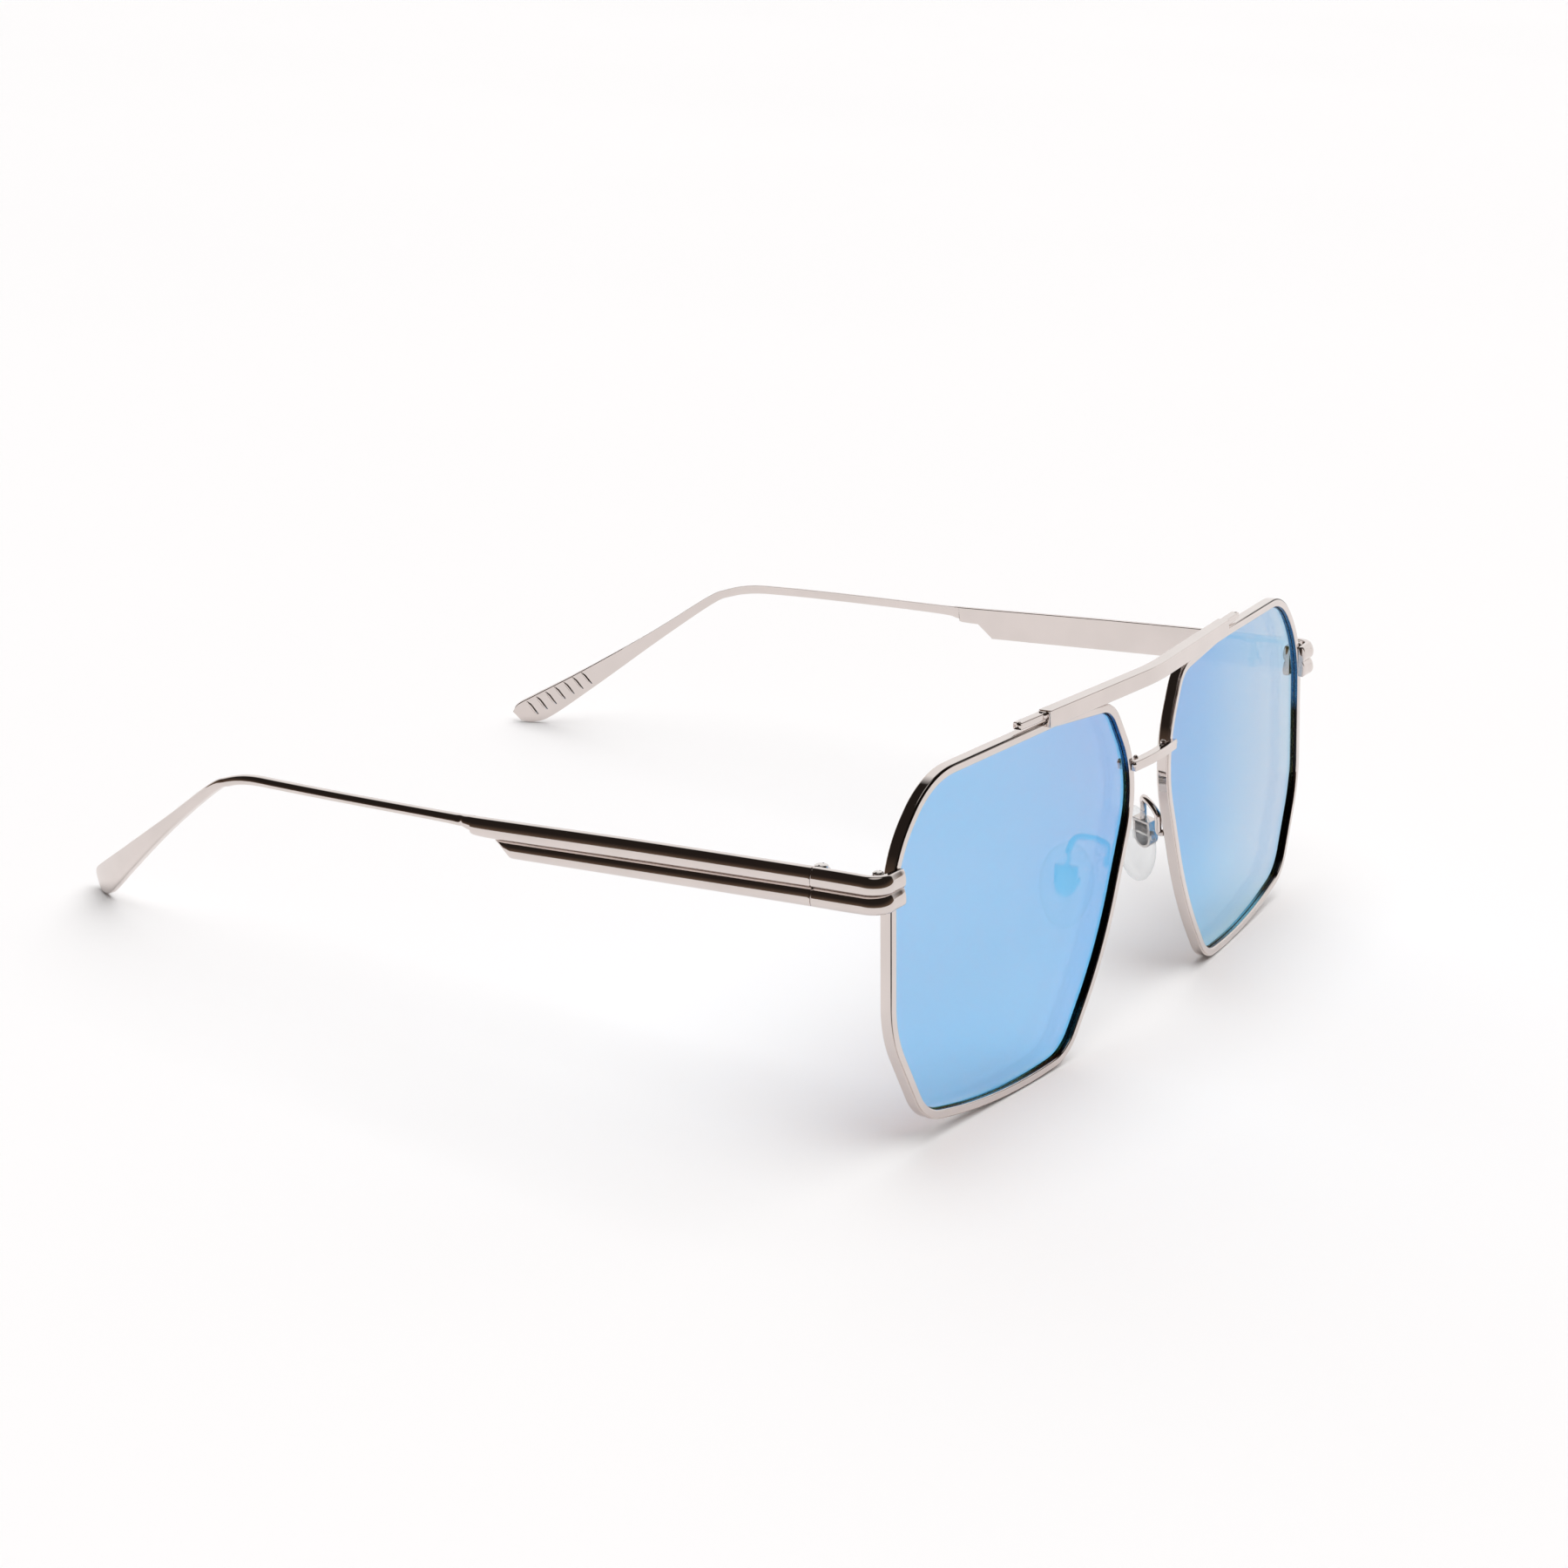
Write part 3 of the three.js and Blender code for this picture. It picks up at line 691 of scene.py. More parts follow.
@dataclass
class Finishes:
    """All the finishes of the sunglasses, made once."""

    metal: bpy.types.Material = field(init=False)
    groove: bpy.types.Material = field(init=False)
    steel: bpy.types.Material = field(init=False)
    silicone: bpy.types.Material = field(init=False)
    inner_wall: bpy.types.Material = field(init=False)
    crease: bpy.types.Material = field(init=False)
    lens: dict[Side, bpy.types.Material] = field(init=False)

    def __post_init__(self) -> None:
        """Builds every material."""
        self.metal = MetalFinish("polished_metal", light=(0.725, 0.655, 0.625), deep=(0.695, 0.63, 0.6),
                                 gloss=(0.035, 0.075)).build()
        # Near black painted shade for the rim's groove and the screw slots.
        self.groove = MetalFinish("painted_shade_groove", light=(0.055, 0.048, 0.045),
                                  deep=(0.02, 0.017, 0.016), gloss=(0.2, 0.35)).build()
        self.steel = MetalFinish("turned_steel", light=(0.78, 0.74, 0.71), deep=(0.66, 0.62, 0.6),
                                 gloss=(0.12, 0.24), mark_scale=4200.0, mark_depth=0.05).build()
        self.silicone = SiliconeFinish().build()
        # Painted shade and painted reflections on the rim's inner wall in front of the lens.
        self.inner_wall = ZonedMetalFinish("shaded_inner_wall", fall=0.155, span=0.05,
                                           stops=PAINTED_INNER_WALL_STOPS).build()
        # Painted dark reflection along the rim's crease towards the upper outer corners.
        self.crease = ZonedMetalFinish("shaded_crease", fall=1.0, span=0.12, stops=CREASE_STOPS,
                                       gloss=(0.06, 0.14)).build()
        # The two lenses are alike; the left lens's other colours are painted reflections of what it
        # faces.
        self.lens = {
            Side.LEFT: MirrorLensFinish("blue_mirror_left", Side.LEFT, lower=(0.15, 0.5, 0.8),
                                        base=(0.03, 0.385, 0.76), upper=(0.05, 0.34, 0.74),
                                        outer=(0.26, 0.5, 0.71), tint=(0.37, 0.22, 0.08)).build(),
            Side.RIGHT: MirrorLensFinish("blue_mirror_right", Side.RIGHT).build(),
        }


# ---------------------------------------------------------------- rims and lenses


@dataclass
class LensAndRim:
    """One rim with its groove, its lens and its closing blocks and screw."""

    side: Side
    finishes: Finishes
    width: float = 1.3
    depth: float = 1.8
    recess: float = 0.68
    lens_thickness: float = 1.6
    groove_depth: float = 0.5
    groove_place: float = 1.1
    groove_half: float = 0.45
    edge_step: float = 0.22
    bevel: float = 0.32
    flat_inset: float = 0.3
    face_rings: tuple[float, ...] = (0.05, 0.35, 0.7)
    block_across: tuple[float, float] = (66.8, 68.83)
    block_depth: tuple[float, float] = (0.42, 2.08)
    block_height: float = 1.81
    block_floors: tuple[float, float] = (35.62, 37.77)
    screw_foot: tuple[float, float, float] = (67.815, 1.25, 35.6)

    def rim_rows(self) -> tuple[np.ndarray, np.ndarray]:
        """The rim's profile carried round the opening, each of its points an outline at its own offset.

        Returns:
            Rows (m, n, 3) in the row frame and the finish of each band.
        """
        w, d, e = self.width, self.depth, self.edge_step
        # Finish 1 paints shade in the groove, finish 2 paints shade and reflections on the inner wall in
        # front of the lens, finish 3 paints a dark reflection along the crease.
        profile = [  # offset out from the opening, depth behind the face, finish of the next band
            (0.02, 0.16, 0), (0.05, 0.07, 0), (0.12, 0.015, 0), (0.2, 0.0, 0), (0.24, 0.0, 0),
            (w - e - 0.16, 0.0, 0), (w - e - 0.12, 0.0, 0), (w - e - 0.05, 0.015, 0), (w - e, 0.06, 3),
            (w - e + 0.015, 0.17, 3), (w - e + 0.09, 0.19, 3), (w - 0.07, 0.16, 0), (w - 0.02, 0.2, 0),
            (w, 0.28, 0), (w, 0.33, 0), (w, d - 0.3, 0), (w, d - 0.25, 0), (w - 0.06, d - 0.09, 0),
            (w - 0.2, d, 0), (w - 0.26, d, 0), (0.3, d, 0), (0.24, d, 0), (0.08, d - 0.07, 0),
            (0.0, d - 0.2, 0),
            (0.0, self.groove_place + self.groove_half, 1), (self.groove_depth, self.groove_place, 1),
            (0.0, self.groove_place - self.groove_half, 2), (0.0, 0.3, 2),
        ]
        rings = [self.ring(opening_outline(offset), depth) for offset, depth, _ in profile]
        return on_lens_plane(np.array(rings)), np.array([finish for _, _, finish in profile])

    @staticmethod
    def ring(outline: np.ndarray, depth: float) -> np.ndarray:
        """An outline (across, up) set at a depth behind the rim's face."""
        return np.insert(outline, 1, depth, axis=1)

    def lens_rows(self) -> np.ndarray:
        """Outlines from the middle of the front face, over the bevelled edge, to the back face's middle.

        Returns:
            Rows (m, n, 3) in the row frame.
        """
        front, back = self.recess, self.recess + self.lens_thickness
        flat = opening_outline(-self.flat_inset)
        middle = opening_outline(0).mean(0)
        tip, bevel = self.groove_place, self.bevel
        edge = ((front, -FIT - 0.12), (front + 0.03, -FIT - 0.04), (tip - bevel, -FIT - 0.03),
                (tip, self.groove_depth - 0.1), (tip + bevel, -FIT - 0.03),
                (back - 0.03, -FIT - 0.04), (back, -FIT - 0.12))
        shares = (*self.face_rings, 1.0)
        face = [self.ring(middle + (flat - middle) * share, front) for share in shares]
        rim = [self.ring(opening_outline(offset), depth) for depth, offset in edge]
        rear = [self.ring(middle + (flat - middle) * share, back) for share in shares[::-1]]
        return on_lens_plane(np.array(face + rim + rear))

    def block_rows(self, low: float) -> np.ndarray:
        """A closing block: a rounded square carried upwards with softened ends.

        Args:
            low: height of its lower end.

        Returns:
            Rows (m, n, 3) in the row frame.
        """
        (inner, outer), (front, back) = self.block_across, self.block_depth
        high = low + self.block_height
        square = rounded_profile(((inner, front), (outer, front), (outer, back), (inner, back)), 0.25)
        centre = square.mean(0)
        levels = ((low, 0.94), (low + 0.06, 1.0), (high - 0.06, 1.0), (high, 0.94))
        rings = [np.column_stack([centre + (square - centre) * scale, np.full(len(square), z)])
                 for z, scale in levels]
        return on_lens_plane(np.array(rings))

    def build(self) -> None:
        """Makes the rim, the lens, the two closing blocks and their screw."""
        word, metal, dark = self.side.word, self.finishes.metal, self.finishes.groove
        rows, bands = self.rim_rows()
        Piece(f"rim_{word}_swept", [Shell(rows, True, bands)],
              [metal, dark, self.finishes.inner_wall, self.finishes.crease], "front",
              (f"rim_{word}",), POLISHED).build(self.side)
        Piece(f"lens_{word}_coated", [Shell(self.lens_rows())], [self.finishes.lens[self.side]],
              "front", (f"lens_{word}",), "lens").build(self.side)
        for place, low in zip(("lower", "upper"), self.block_floors):
            Piece(f"closing_block_{place}_{word}_soft", [Shell(self.block_rows(low))], [metal], "front",
                  (f"closing_block_{place}_{word}",), POLISHED).build(self.side)

        def stand(points: np.ndarray) -> np.ndarray:
            """Stands the screw in the closing blocks."""
            return on_lens_plane(points + np.array(self.screw_foot))

        screw = Screw(radius=0.45, head=0.75, head_height=0.5, length=4.06)
        Piece(f"closing_screw_{word}_turned", screw.shells(stand), [self.finishes.steel, dark], "front",
              (f"closing_screw_{word}",), TURNED).build(self.side)


@dataclass
class Screw:
    """A small slotted screw standing on its tip, head upwards."""

    radius: float
    head: float
    head_height: float
    length: float
    sides: int = 32

    def shells(self, place: Placer) -> list[Shell]:
        """The turned body with its domed head, and a dark bar laid in the head that paints the slot's
        shade.

        Args:
            place: function that carries points (..., 3) from the screw's own frame to the row frame.

        Returns:
            The shells.
        """
        radius, head, tall, length = self.radius, self.head, self.head_height, self.length
        top = length + tall
        profile = np.array([  # distance from the axis, height
            (radius * 0.8, 0.0), (radius, 0.12), (radius, length - 0.02), (head * 0.96, length),
            (head, length + 0.06), (head, length + tall * 0.45), (head * 0.93, length + tall * 0.72),
            (head * 0.75, top - tall * 0.1), (head * 0.45, top - 0.01), (0.06, top),
        ])
        angle = np.linspace(0, 2 * math.pi, self.sides, endpoint=False)
        rows = np.stack([profile[:, :1] * np.cos(angle), profile[:, :1] * np.sin(angle),
                         np.repeat(profile[:, 1:], self.sides, 1)], -1)
        # The slot is a dark bar of painted shade laid into the head.
        half, reach = head * 0.12, head * 0.68
        slot = rounded_profile(((-reach, -half), (reach, -half), (reach, half), (-reach, half)), 0.04)
        levels = (top - 0.16, top - 0.012)
        bar = np.stack([np.column_stack([slot, np.full(len(slot), z)]) for z in levels])
        return [Shell(place(rows)), Shell(place(bar), finish=1)]


# ---------------------------------------------------------------- bars across the front


@dataclass
class FrontBars:
    """The brow bar with its stepped-down rails, and the lower bridge, with their solder beads."""

    finishes: Finishes
    bar_half: float = 29.3
    bar_bottom: float = 50.1
    bar_top: float = 52.5
    bar_proud: float = 0.7
    bar_back: float = 1.2
    rail_end: float = 35.6
    rim_top: float = 51.15
    rail_top: float = 52.2
    rail_back: float = 1.3
    bridge_half: float = 6.8
    bridge_bottom: float = 38.5
    bridge_top: float = 39.95
    bridge_proud: float = 0.85
    core_half: float = 4.95
    core_depth: tuple[float, float] = (-0.4, 0.78)
    core_inset: float = 0.12
    end_round: float = 0.1

    def strip(self, section: np.ndarray, start: float, stop: float, steps: int = 60) -> np.ndarray:
        """A section (depth, up) carried across the front along the V, with both ends rounded over.

        Args:
            section: array (n, 2).
            start: first across position.
            stop: last across position.
            steps: number of rows.

        Returns:
            Rows (m, n, 3) in the row frame.
        """
        turn = self.end_round
        inset = np.array((0.0, 0.3, 1.0, 1.4)) * turn
        x = np.concatenate([start + inset, np.linspace(start, stop, steps)[1:-1], stop - inset[::-1]])
        edge = np.minimum(x - start, stop - x)
        shrink = turn - np.sqrt(np.maximum(0.0, turn**2 - np.maximum(0.0, turn - edge) ** 2))
        centre = (section.max(0) + section.min(0)) / 2
        half = (section.max(0) - section.min(0)) / 2
        scale = 1 - shrink[:, None] / half[None]
        body = centre + (section[None] - centre) * scale[:, None]
        rows = np.empty((len(x), len(section), 3))
        rows[..., 0] = x[:, None]
        rows[..., 1] = body[..., 0] + sweep_back(x)[:, None]
        rows[..., 2] = body[..., 1]
        return on_front(rows)

    def bead(self, x: float, depth: float, up: float, radius: float) -> np.ndarray:
        """A solder bead: a ball slightly flattened where it lies on the rim.

        Args:
            x: across position.
            depth: depth behind the datum at that position.
            up: height.
            radius: the bead's radius.

        Returns:
            Rows (m, n, 3) in the row frame.
        """
        polar = np.linspace(0.12, math.pi - 0.12, 14)[:, None]
        about = np.linspace(0, 2 * math.pi, 24, endpoint=False)[None]
        ball = np.stack([np.sin(polar) * np.cos(about), 0.85 * np.cos(polar) + 0 * about,
                         np.sin(polar) * np.sin(about)], -1)
        return on_front(ball * radius + np.array((x, depth + float(sweep_back(np.array(x))), up)))

    def build(self) -> None:
        """Makes the brow bar and the lower bridge."""
        self.build_brow_bar()
        self.build_bridge()

    def build_brow_bar(self) -> None:
        """Makes the bar that laps over both rims, its rails and their beads."""
        front, back, low, high = -self.bar_proud, self.bar_back, self.bar_bottom, self.bar_top
        lap = ((front, low), (-FIT, low), (-FIT, self.rim_top), (back, self.rim_top), (back, high),
               (front, high))
        shells = [Shell(self.strip(rounded_profile(lap, 0.12), -self.bar_half, self.bar_half, 90))]
        rail = self.rounded_box((0.0, self.rail_back), (self.rim_top + 0.02, self.rail_top), 0.18)
        outer, inner, top = self.rail_end - 0.3, self.bar_half + 0.28, self.rail_top
        for sign in (1, -1):
            start, stop = sorted((sign * (self.bar_half - 0.6), sign * self.rail_end))
            shells.append(Shell(self.strip(rail, start, stop, 14)))
            shells.append(Shell(self.bead(sign * outer, 0.45, top - 0.45, 0.55)))
            shells.append(Shell(self.bead(sign * inner, 0.1, top - 0.35, 0.5)))
        Piece("brow_bar_soldered", shells, [self.finishes.metal], "front",
              ("brow_bar",), POLISHED).build()

    def build_bridge(self) -> None:
        """Makes the lower bridge: a strip on the rims' faces, its core between them and four beads."""
        low, high = self.bridge_bottom, self.bridge_top
        strip = self.rounded_box((-self.bridge_proud, -FIT), (low, high), 0.12)
        core = self.rounded_box(self.core_depth, (low + self.core_inset, high - self.core_inset), 0.2)
        shells = [Shell(self.strip(strip, -self.bridge_half, self.bridge_half)),
                  Shell(self.strip(core, -self.core_half, self.core_half, 40))]
        for sign in (1, -1):
            shells.append(Shell(self.bead(sign * 4.6, 0.5, high - 0.1, 0.45)))
            shells.append(Shell(self.bead(sign * 6.72, -0.5, high - 0.5, 0.45)))
        Piece("lower_bridge_soldered", shells, [self.finishes.metal], "front",
              ("lower_bridge",), POLISHED).build()

    @staticmethod
    def rounded_box(depth: tuple[float, float], up: tuple[float, float], radius: float) -> np.ndarray:
        """A rounded box of depth and height, as a profile for a strip."""
        (front, back), (low, high) = depth, up
        return rounded_profile(((front, low), (back, low), (back, high), (front, high)), radius)


# ---------------------------------------------------------------- end pieces, hinges and temples


RIB_BASE = 0.6  # thickness of the backing under the ribs
RIB_BULGE = 1.1  # how far a rib stands out from the backing
END_INNER_X = 69.3  # inner face of the end piece's side and of the temple's start
SEAM = 14.75  # depth at which the temple meets the end piece
TEMPLE_START = 14.81
END_RUN, END_DROP = (0.0, 0.04, 0.12), (0.12, 0.05, 0.0)  # rounding of the temple's front end
CREST_DROP = 0.28  # how far each rib's crest lies below its middle, in half heights


def rib_section(ribs: int, soft_top: bool = True, soft_bottom: bool = True,
                per_rib: int = 22) -> np.ndarray:
    """Half-round ribs on a flat backing: out is 0 on the flat and 1 + k on the ribs, up runs -1 to 1.

    Args:
        ribs: how many ribs stand side by side.
        soft_top: whether the flat's upper edge is softened.
        soft_bottom: whether the flat's lower edge is softened.
        per_rib: points on each half round.

    Returns:
        Array (n, 3) of backing share, bulge share and up.
    """
    edge = 0.03
    soft, square = [(2 * edge, 0.0, 1 - edge), (0.0, 0.0, 0.93)], [(0.0, 0.0, 1.0), (0.0, 0.0, 0.98)]
    top = soft if soft_top else square
    bottom = [(back, 0.0, -up) for back, _, up in reversed(soft if soft_bottom else square)]
    points = [*top, (0.0, 0.0, 0.85), (0.0, 0.0, -0.85), *bottom]
    for rib in range(ribs):
        middle = -1 + (2 * rib + 1) / ribs
        first = 0 if rib == 0 else 1
        for angle in np.linspace(-math.pi / 2, math.pi / 2, per_rib)[first:]:
            height = math.sin(angle)
            dropped = height - CREST_DROP * (1 - height**2)
            points.append((1.0, math.cos(angle), middle + dropped / ribs))
    return np.array(points)


@dataclass
class EndPiece:
    """The twin-rib corner piece: a plate on the rim's face, a tight corner and a short side."""

    side: Side
    finishes: Finishes
    plate_start: float = 65.0
    corner_radius: float = 1.6
    half_heights: tuple[float, float] = (2.45, 2.6)
    middles: tuple[float, float] = (37.65, 37.62)
    plate_bulge: float = 0.45
    bulge_run: tuple[float, float, float] = (0.0, 2.2, 5.5)
    edge_round: float = 0.12
    level_share: float = 0.7  # share of the run over which the middle moves

    def path(self) -> tuple[np.ndarray, np.ndarray]:
        """Foot points and outward directions seen from above: plate, quarter turn, side.

        Returns:
            Two arrays (n, 2).
        """
        along = np.array((math.cos(SWEEP), math.sin(SWEEP)))
        front = np.array((along[1], -along[0]))
        start = along * self.plate_start + front * FIT
        corner_x = END_INNER_X - self.corner_radius * (1 - math.sin(SWEEP))
        corner = start + along * (corner_x - start[0]) / along[0]
        centre = corner - front * self.corner_radius
        plate = start + (corner - start) * np.array((0, 0.02, 0.05, 0.3, 0.65, 0.97))[:, None]
        angle = np.linspace(SWEEP - math.pi / 2, 0, 15)
        out = np.stack([np.cos(angle), np.sin(angle)], 1)
        turn = centre + out * self.corner_radius
        side = np.array((0.03, 0.15, 0.35, 0.55, 0.75, 0.9))
        last = np.array((0.14, 0.1, 0.03, 0.0))
        depth = np.concatenate([centre[1] + (SEAM - centre[1]) * side, SEAM - last])
        straight = np.stack([np.full(len(depth), END_INNER_X), depth], 1)
        feet = np.vstack([plate, turn, straight])
        outs = np.vstack([np.tile(front, (len(plate), 1)), out, np.tile((1.0, 0.0), (len(depth), 1))])
        return feet, outs

    def rows(self) -> np.ndarray:
        """The twin-rib section carried round the corner, its bulge growing from the plate to the side.

        Returns:
            Rows (m, n, 3) in the row frame.
        """
        feet, outs = self.path()
        run = np.concatenate([[0], np.cumsum(np.linalg.norm(np.diff(feet, axis=0), axis=1))])
        share = run / run[-1]
        section = rib_section(2)
        bulge = np.interp(run, self.bulge_run, (self.plate_bulge, self.plate_bulge + 0.1, 1.0))
        ends = np.minimum(run, run[-1] - run)
        turn = self.edge_round
        shrink = turn - np.sqrt(np.maximum(0, turn**2 - np.maximum(0, turn - ends) ** 2))
        smooth = np.clip(share / self.level_share, 0, 1)
        middle = self.middles[0] + (self.middles[1] - self.middles[0]) * smooth**2 * (3 - 2 * smooth)
        half = np.interp(share * 1.5, (0, 1), self.half_heights) - shrink
        ribs = section[:, 0] * RIB_BASE + section[:, 1] * RIB_BULGE * bulge[:, None]
        thick = ribs - shrink[:, None] * (section[:, 0] > 0.5)
        rows = np.empty((len(feet), len(section), 3))
        rows[..., 0] = feet[:, :1] + outs[:, :1] * thick
        rows[..., 1] = feet[:, 1:] + outs[:, 1:] * thick
        rows[..., 2] = middle[:, None] + half[:, None] * section[:, 2]
        return on_front(rows)

    def build(self) -> None:
        """Makes the end piece."""
        word = self.side.word
        Piece(f"end_piece_{word}_ribbed", [Shell(self.rows())], [self.finishes.metal], "front",
              (f"end_piece_{word}",), POLISHED).build(self.side)


@dataclass
class Hinge:
    """The barrel hinge: both leaves keep their made shape with softened edges, the screw is turned."""

    side: Side
    finishes: Finishes
    x: float = 68.0
    middle: float = 37.4
    height: float = 4.2
    edge_softening: float = 0.06

    def build(self) -> None:
        """Dresses the leaves and makes the hinge screw."""
        word = self.side.word
        for leaf in ("front", "temple"):
            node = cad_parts[f"hinge_leaf_{leaf}_{word}"]
            for slot in node.material_slots:
                slot.material = self.finishes.metal
            weld = node.modifiers.new("weld", "WELD")
            weld.merge_threshold = 1e-6
            bevel = node.modifiers.new("edges", "BEVEL")
            bevel.width = self.edge_softening * MM
            bevel.segments = 2
            bevel.limit_method = "ANGLE"
            bevel.angle_limit = math.radians(35)
            bevel.harden_normals = False
        foot = np.array((self.x, SEAM, self.middle - self.height / 2))

        def stand(points: np.ndarray) -> np.ndarray:
            """Stands the screw in the hinge's barrels."""
            return on_front(points + foot)

        screw = Screw(radius=0.56, head=0.95, head_height=0.55, length=self.height + 0.05)
        Piece(f"hinge_screw_{word}_turned", screw.shells(stand),
              [self.finishes.steel, self.finishes.groove], "front",
              (f"hinge_screw_{word}",), TURNED).build(self.side)


@dataclass
class Temple:
    """One temple: two ribs, the lower ending in a step, then a wire, a bend and a ridged paddle."""

    side: Side
    finishes: Finishes
    toe_in: float = 0.0106
    bow_start: float = 72.0
    bow_length: float = 80.0
    bow_depth: float = 13.2
    bow_power: float = 3.2
    stations: tuple[tuple[float, ...], ...] = (  # top y, top z, bottom y, bottom z, backing, bulge
        (TEMPLE_START, 40.2, TEMPLE_START, 37.62, 0.6, 1.1), (40, 39.92, 40, 37.22, 0.6, 1.1),
        (65.6, 39.4, 65.6, 36.75, 0.6, 1.1),
        (69, 39.35, 68.8, 37.4, 0.5, 1.05), (72.5, 39.3, 72.3, 37.85, 0.4, 1.0),
        (88, 39.45, 88, 38.1, 0.4, 0.95),
        (103, 39.55, 103, 38.2, 0.4, 0.95), (109.5, 39.4, 108.8, 38.05, 0.4, 0.9),
        (114.2, 38.35, 113, 37.25, 0.45, 0.8), (118, 36.65, 116.9, 35.55, 0.5, 0.7),
        (128.4, 29.87, 127.3, 28.2, 0.65, 0.45), (141.2, 22.15, 139.1, 19.2, 0.75, 0.3),
        (149.1, 17.66, 146.5, 13.7, 0.75, 0.25), (152.1, 15.85, 149.5, 12.53, 0.7, 0.2),
        (152.9, 14.4, 151.6, 12.75, 0.6, 0.15),
    )
    lower_start: tuple[float, float] = (37.68, 35.02)
    lower_end: tuple[float, float] = (36.82, 34.4)
    lower_stop: tuple[float, float] = (62.4, 65.2)
    lower_run: float = 49.0
    lower_inset: float = 0.003  # keeps the lower rib's flat clear of the upper rib's
    neck: tuple[float, float, float] = (70.6, 0.35, 0.16)  # the dip's place, half-width and depth
    tail_reach: float = 0.8  # share of the last span that thins towards the tip
    tail_thinning: float = 0.45
    ridge_count: int = 7
    ridge_top: tuple[float, float] = (150.4, 16.25)  # the first ridge's upper end: along, height
    ridge_bottom: tuple[float, float] = (149.0, 13.9)
    ridge_step: float = 1.55
    ridge_rise: tuple[float, float] = (0.92, 0.98)
    ridge_half: tuple[float, float, float] = (0.24, 0.48, 0.26)

    def bow(self, y: np.ndarray) -> np.ndarray:
        """How far the temple has moved inwards at y: a slight toe-in and a growing bow."""
        past = np.maximum(0, y - self.bow_start) / self.bow_length
        return self.toe_in * (y - SEAM) + self.bow_depth * past**self.bow_power

    def place(self, out: np.ndarray, y: np.ndarray, z: np.ndarray) -> np.ndarray:
        """Points out from the temple's inner face, square to its run, at a place along it and a height.

        Args:
            out: distance out from the inner face.
            y: place along the temple.
            z: height in the front's leaning frame.

        Returns:
            Array (..., 3) in the row frame.
        """
        step = 0.01
        turn = np.arctan((self.bow(y + step) - self.bow(y - step)) / (2 * step))
        x = END_INNER_X - self.bow(y) + out * np.cos(turn)
        return on_front(np.stack([x, y + out * np.sin(turn), z], -1))

    def upper_rows(self) -> np.ndarray:
        """The upper rib, wire and paddle: one rib section between the top and bottom edge curves.

        Returns:
            Rows (m, n, 3) in the row frame.
        """
        table = np.array(self.stations)
        spans = len(table) - 1
        share = np.concatenate([(0.0, 0.0004, 0.0012), np.linspace(0.002, 1.0, 330)])
        edges = spline(table[:, :4], share)
        build = spline(table[:, 4:], share)
        section = rib_section(1, soft_bottom=False)
        lift = (section[:, 2] + 1) / 2
        round_off = np.interp(edges[:, 0] - TEMPLE_START, END_RUN, END_DROP)[:, None]
        tail = np.clip((share * spans - (spans - self.tail_reach)) / self.tail_reach, 0, 1)
        thin = (1 - self.tail_thinning * tail**3)[:, None]
        base, bulge = build[:, :1] * thin, build[:, 1:] * thin
        place, width, depth = self.neck
        dip = depth * np.exp(-(((edges[:, :1] - place) / width) ** 2))
        thick = section[:, 0] * base + section[:, 1] * (bulge - dip) - round_off * (section[:, 0] > 0.5)
        y = edges[:, 2:3] + (edges[:, 0:1] - edges[:, 2:3]) * lift
        z = edges[:, 3:4] + (edges[:, 1:2] - edges[:, 3:4]) * lift
        return self.place(thick, y, z - round_off * 0.8 * section[:, 2])

    def lower_rows(self) -> np.ndarray:
        """The lower rib, its end drawn back from its lower edge in a curved step.

        Returns:
            Rows (m, n, 3) in the row frame.
        """
        section = rib_section(1, soft_top=False)
        ends = (0.0, 0.0008, 0.0024), (0.99, 0.995, 1.0)
        share = np.concatenate([ends[0], np.linspace(0.006, 0.985, 60), ends[1]])[:, None]
        lift = (section[:, 2] + 1) / 2
        stop = self.lower_stop[0] + (self.lower_stop[1] - self.lower_stop[0]) * lift**1.5
        y = TEMPLE_START + (stop - TEMPLE_START) * share
        bottom = self.lower_start[1] + (self.lower_end[1] - self.lower_start[1]) * share
        top = self.lower_start[0] + (self.lower_end[0] - self.lower_start[0]) * share
        round_off = np.interp(share * self.lower_run, END_RUN, END_DROP)
        end_round = 0.5 * np.clip((share - 0.985) / 0.015, 0, 1) ** 2
        ribs = section[:, 0] * (RIB_BASE - 0.02) + section[:, 1] * (RIB_BULGE - end_round)
        thick = self.lower_inset + ribs - round_off * (section[:, 0] > 0.5)
        z = bottom + (top - bottom) * lift - round_off * 0.8 * section[:, 2]
        return self.place(thick, y, z)

    def ridge_rows(self) -> list[np.ndarray]:
        """Grip ridges on the paddle's inner face: half-round bars that flatten towards their ends.

        Returns:
            One array of rows for each ridge.
        """
        ridges = []
        along = np.linspace(0, 1, 13)[:, None]
        angle = np.linspace(0, 2 * math.pi, 16, endpoint=False)[None]
        swell = np.sqrt(np.clip(1 - (2 * along - 1) ** 6, 0.01, 1))
        proud, half_y, half_z = self.ridge_half
        for k in range(self.ridge_count):
            y_top = self.ridge_top[0] - self.ridge_step * k
            y_bottom = self.ridge_bottom[0] - self.ridge_step * k
            z_top = self.ridge_top[1] + self.ridge_rise[0] * k
            z_bottom = self.ridge_bottom[1] + self.ridge_rise[1] * k
            y = y_bottom + (y_top - y_bottom) * along + half_y * swell * np.cos(angle)
            z = z_bottom + (z_top - z_bottom) * along + half_z * swell * np.cos(angle)
            ridges.append(self.place(-proud * swell * np.sin(angle), y, z))
        return ridges

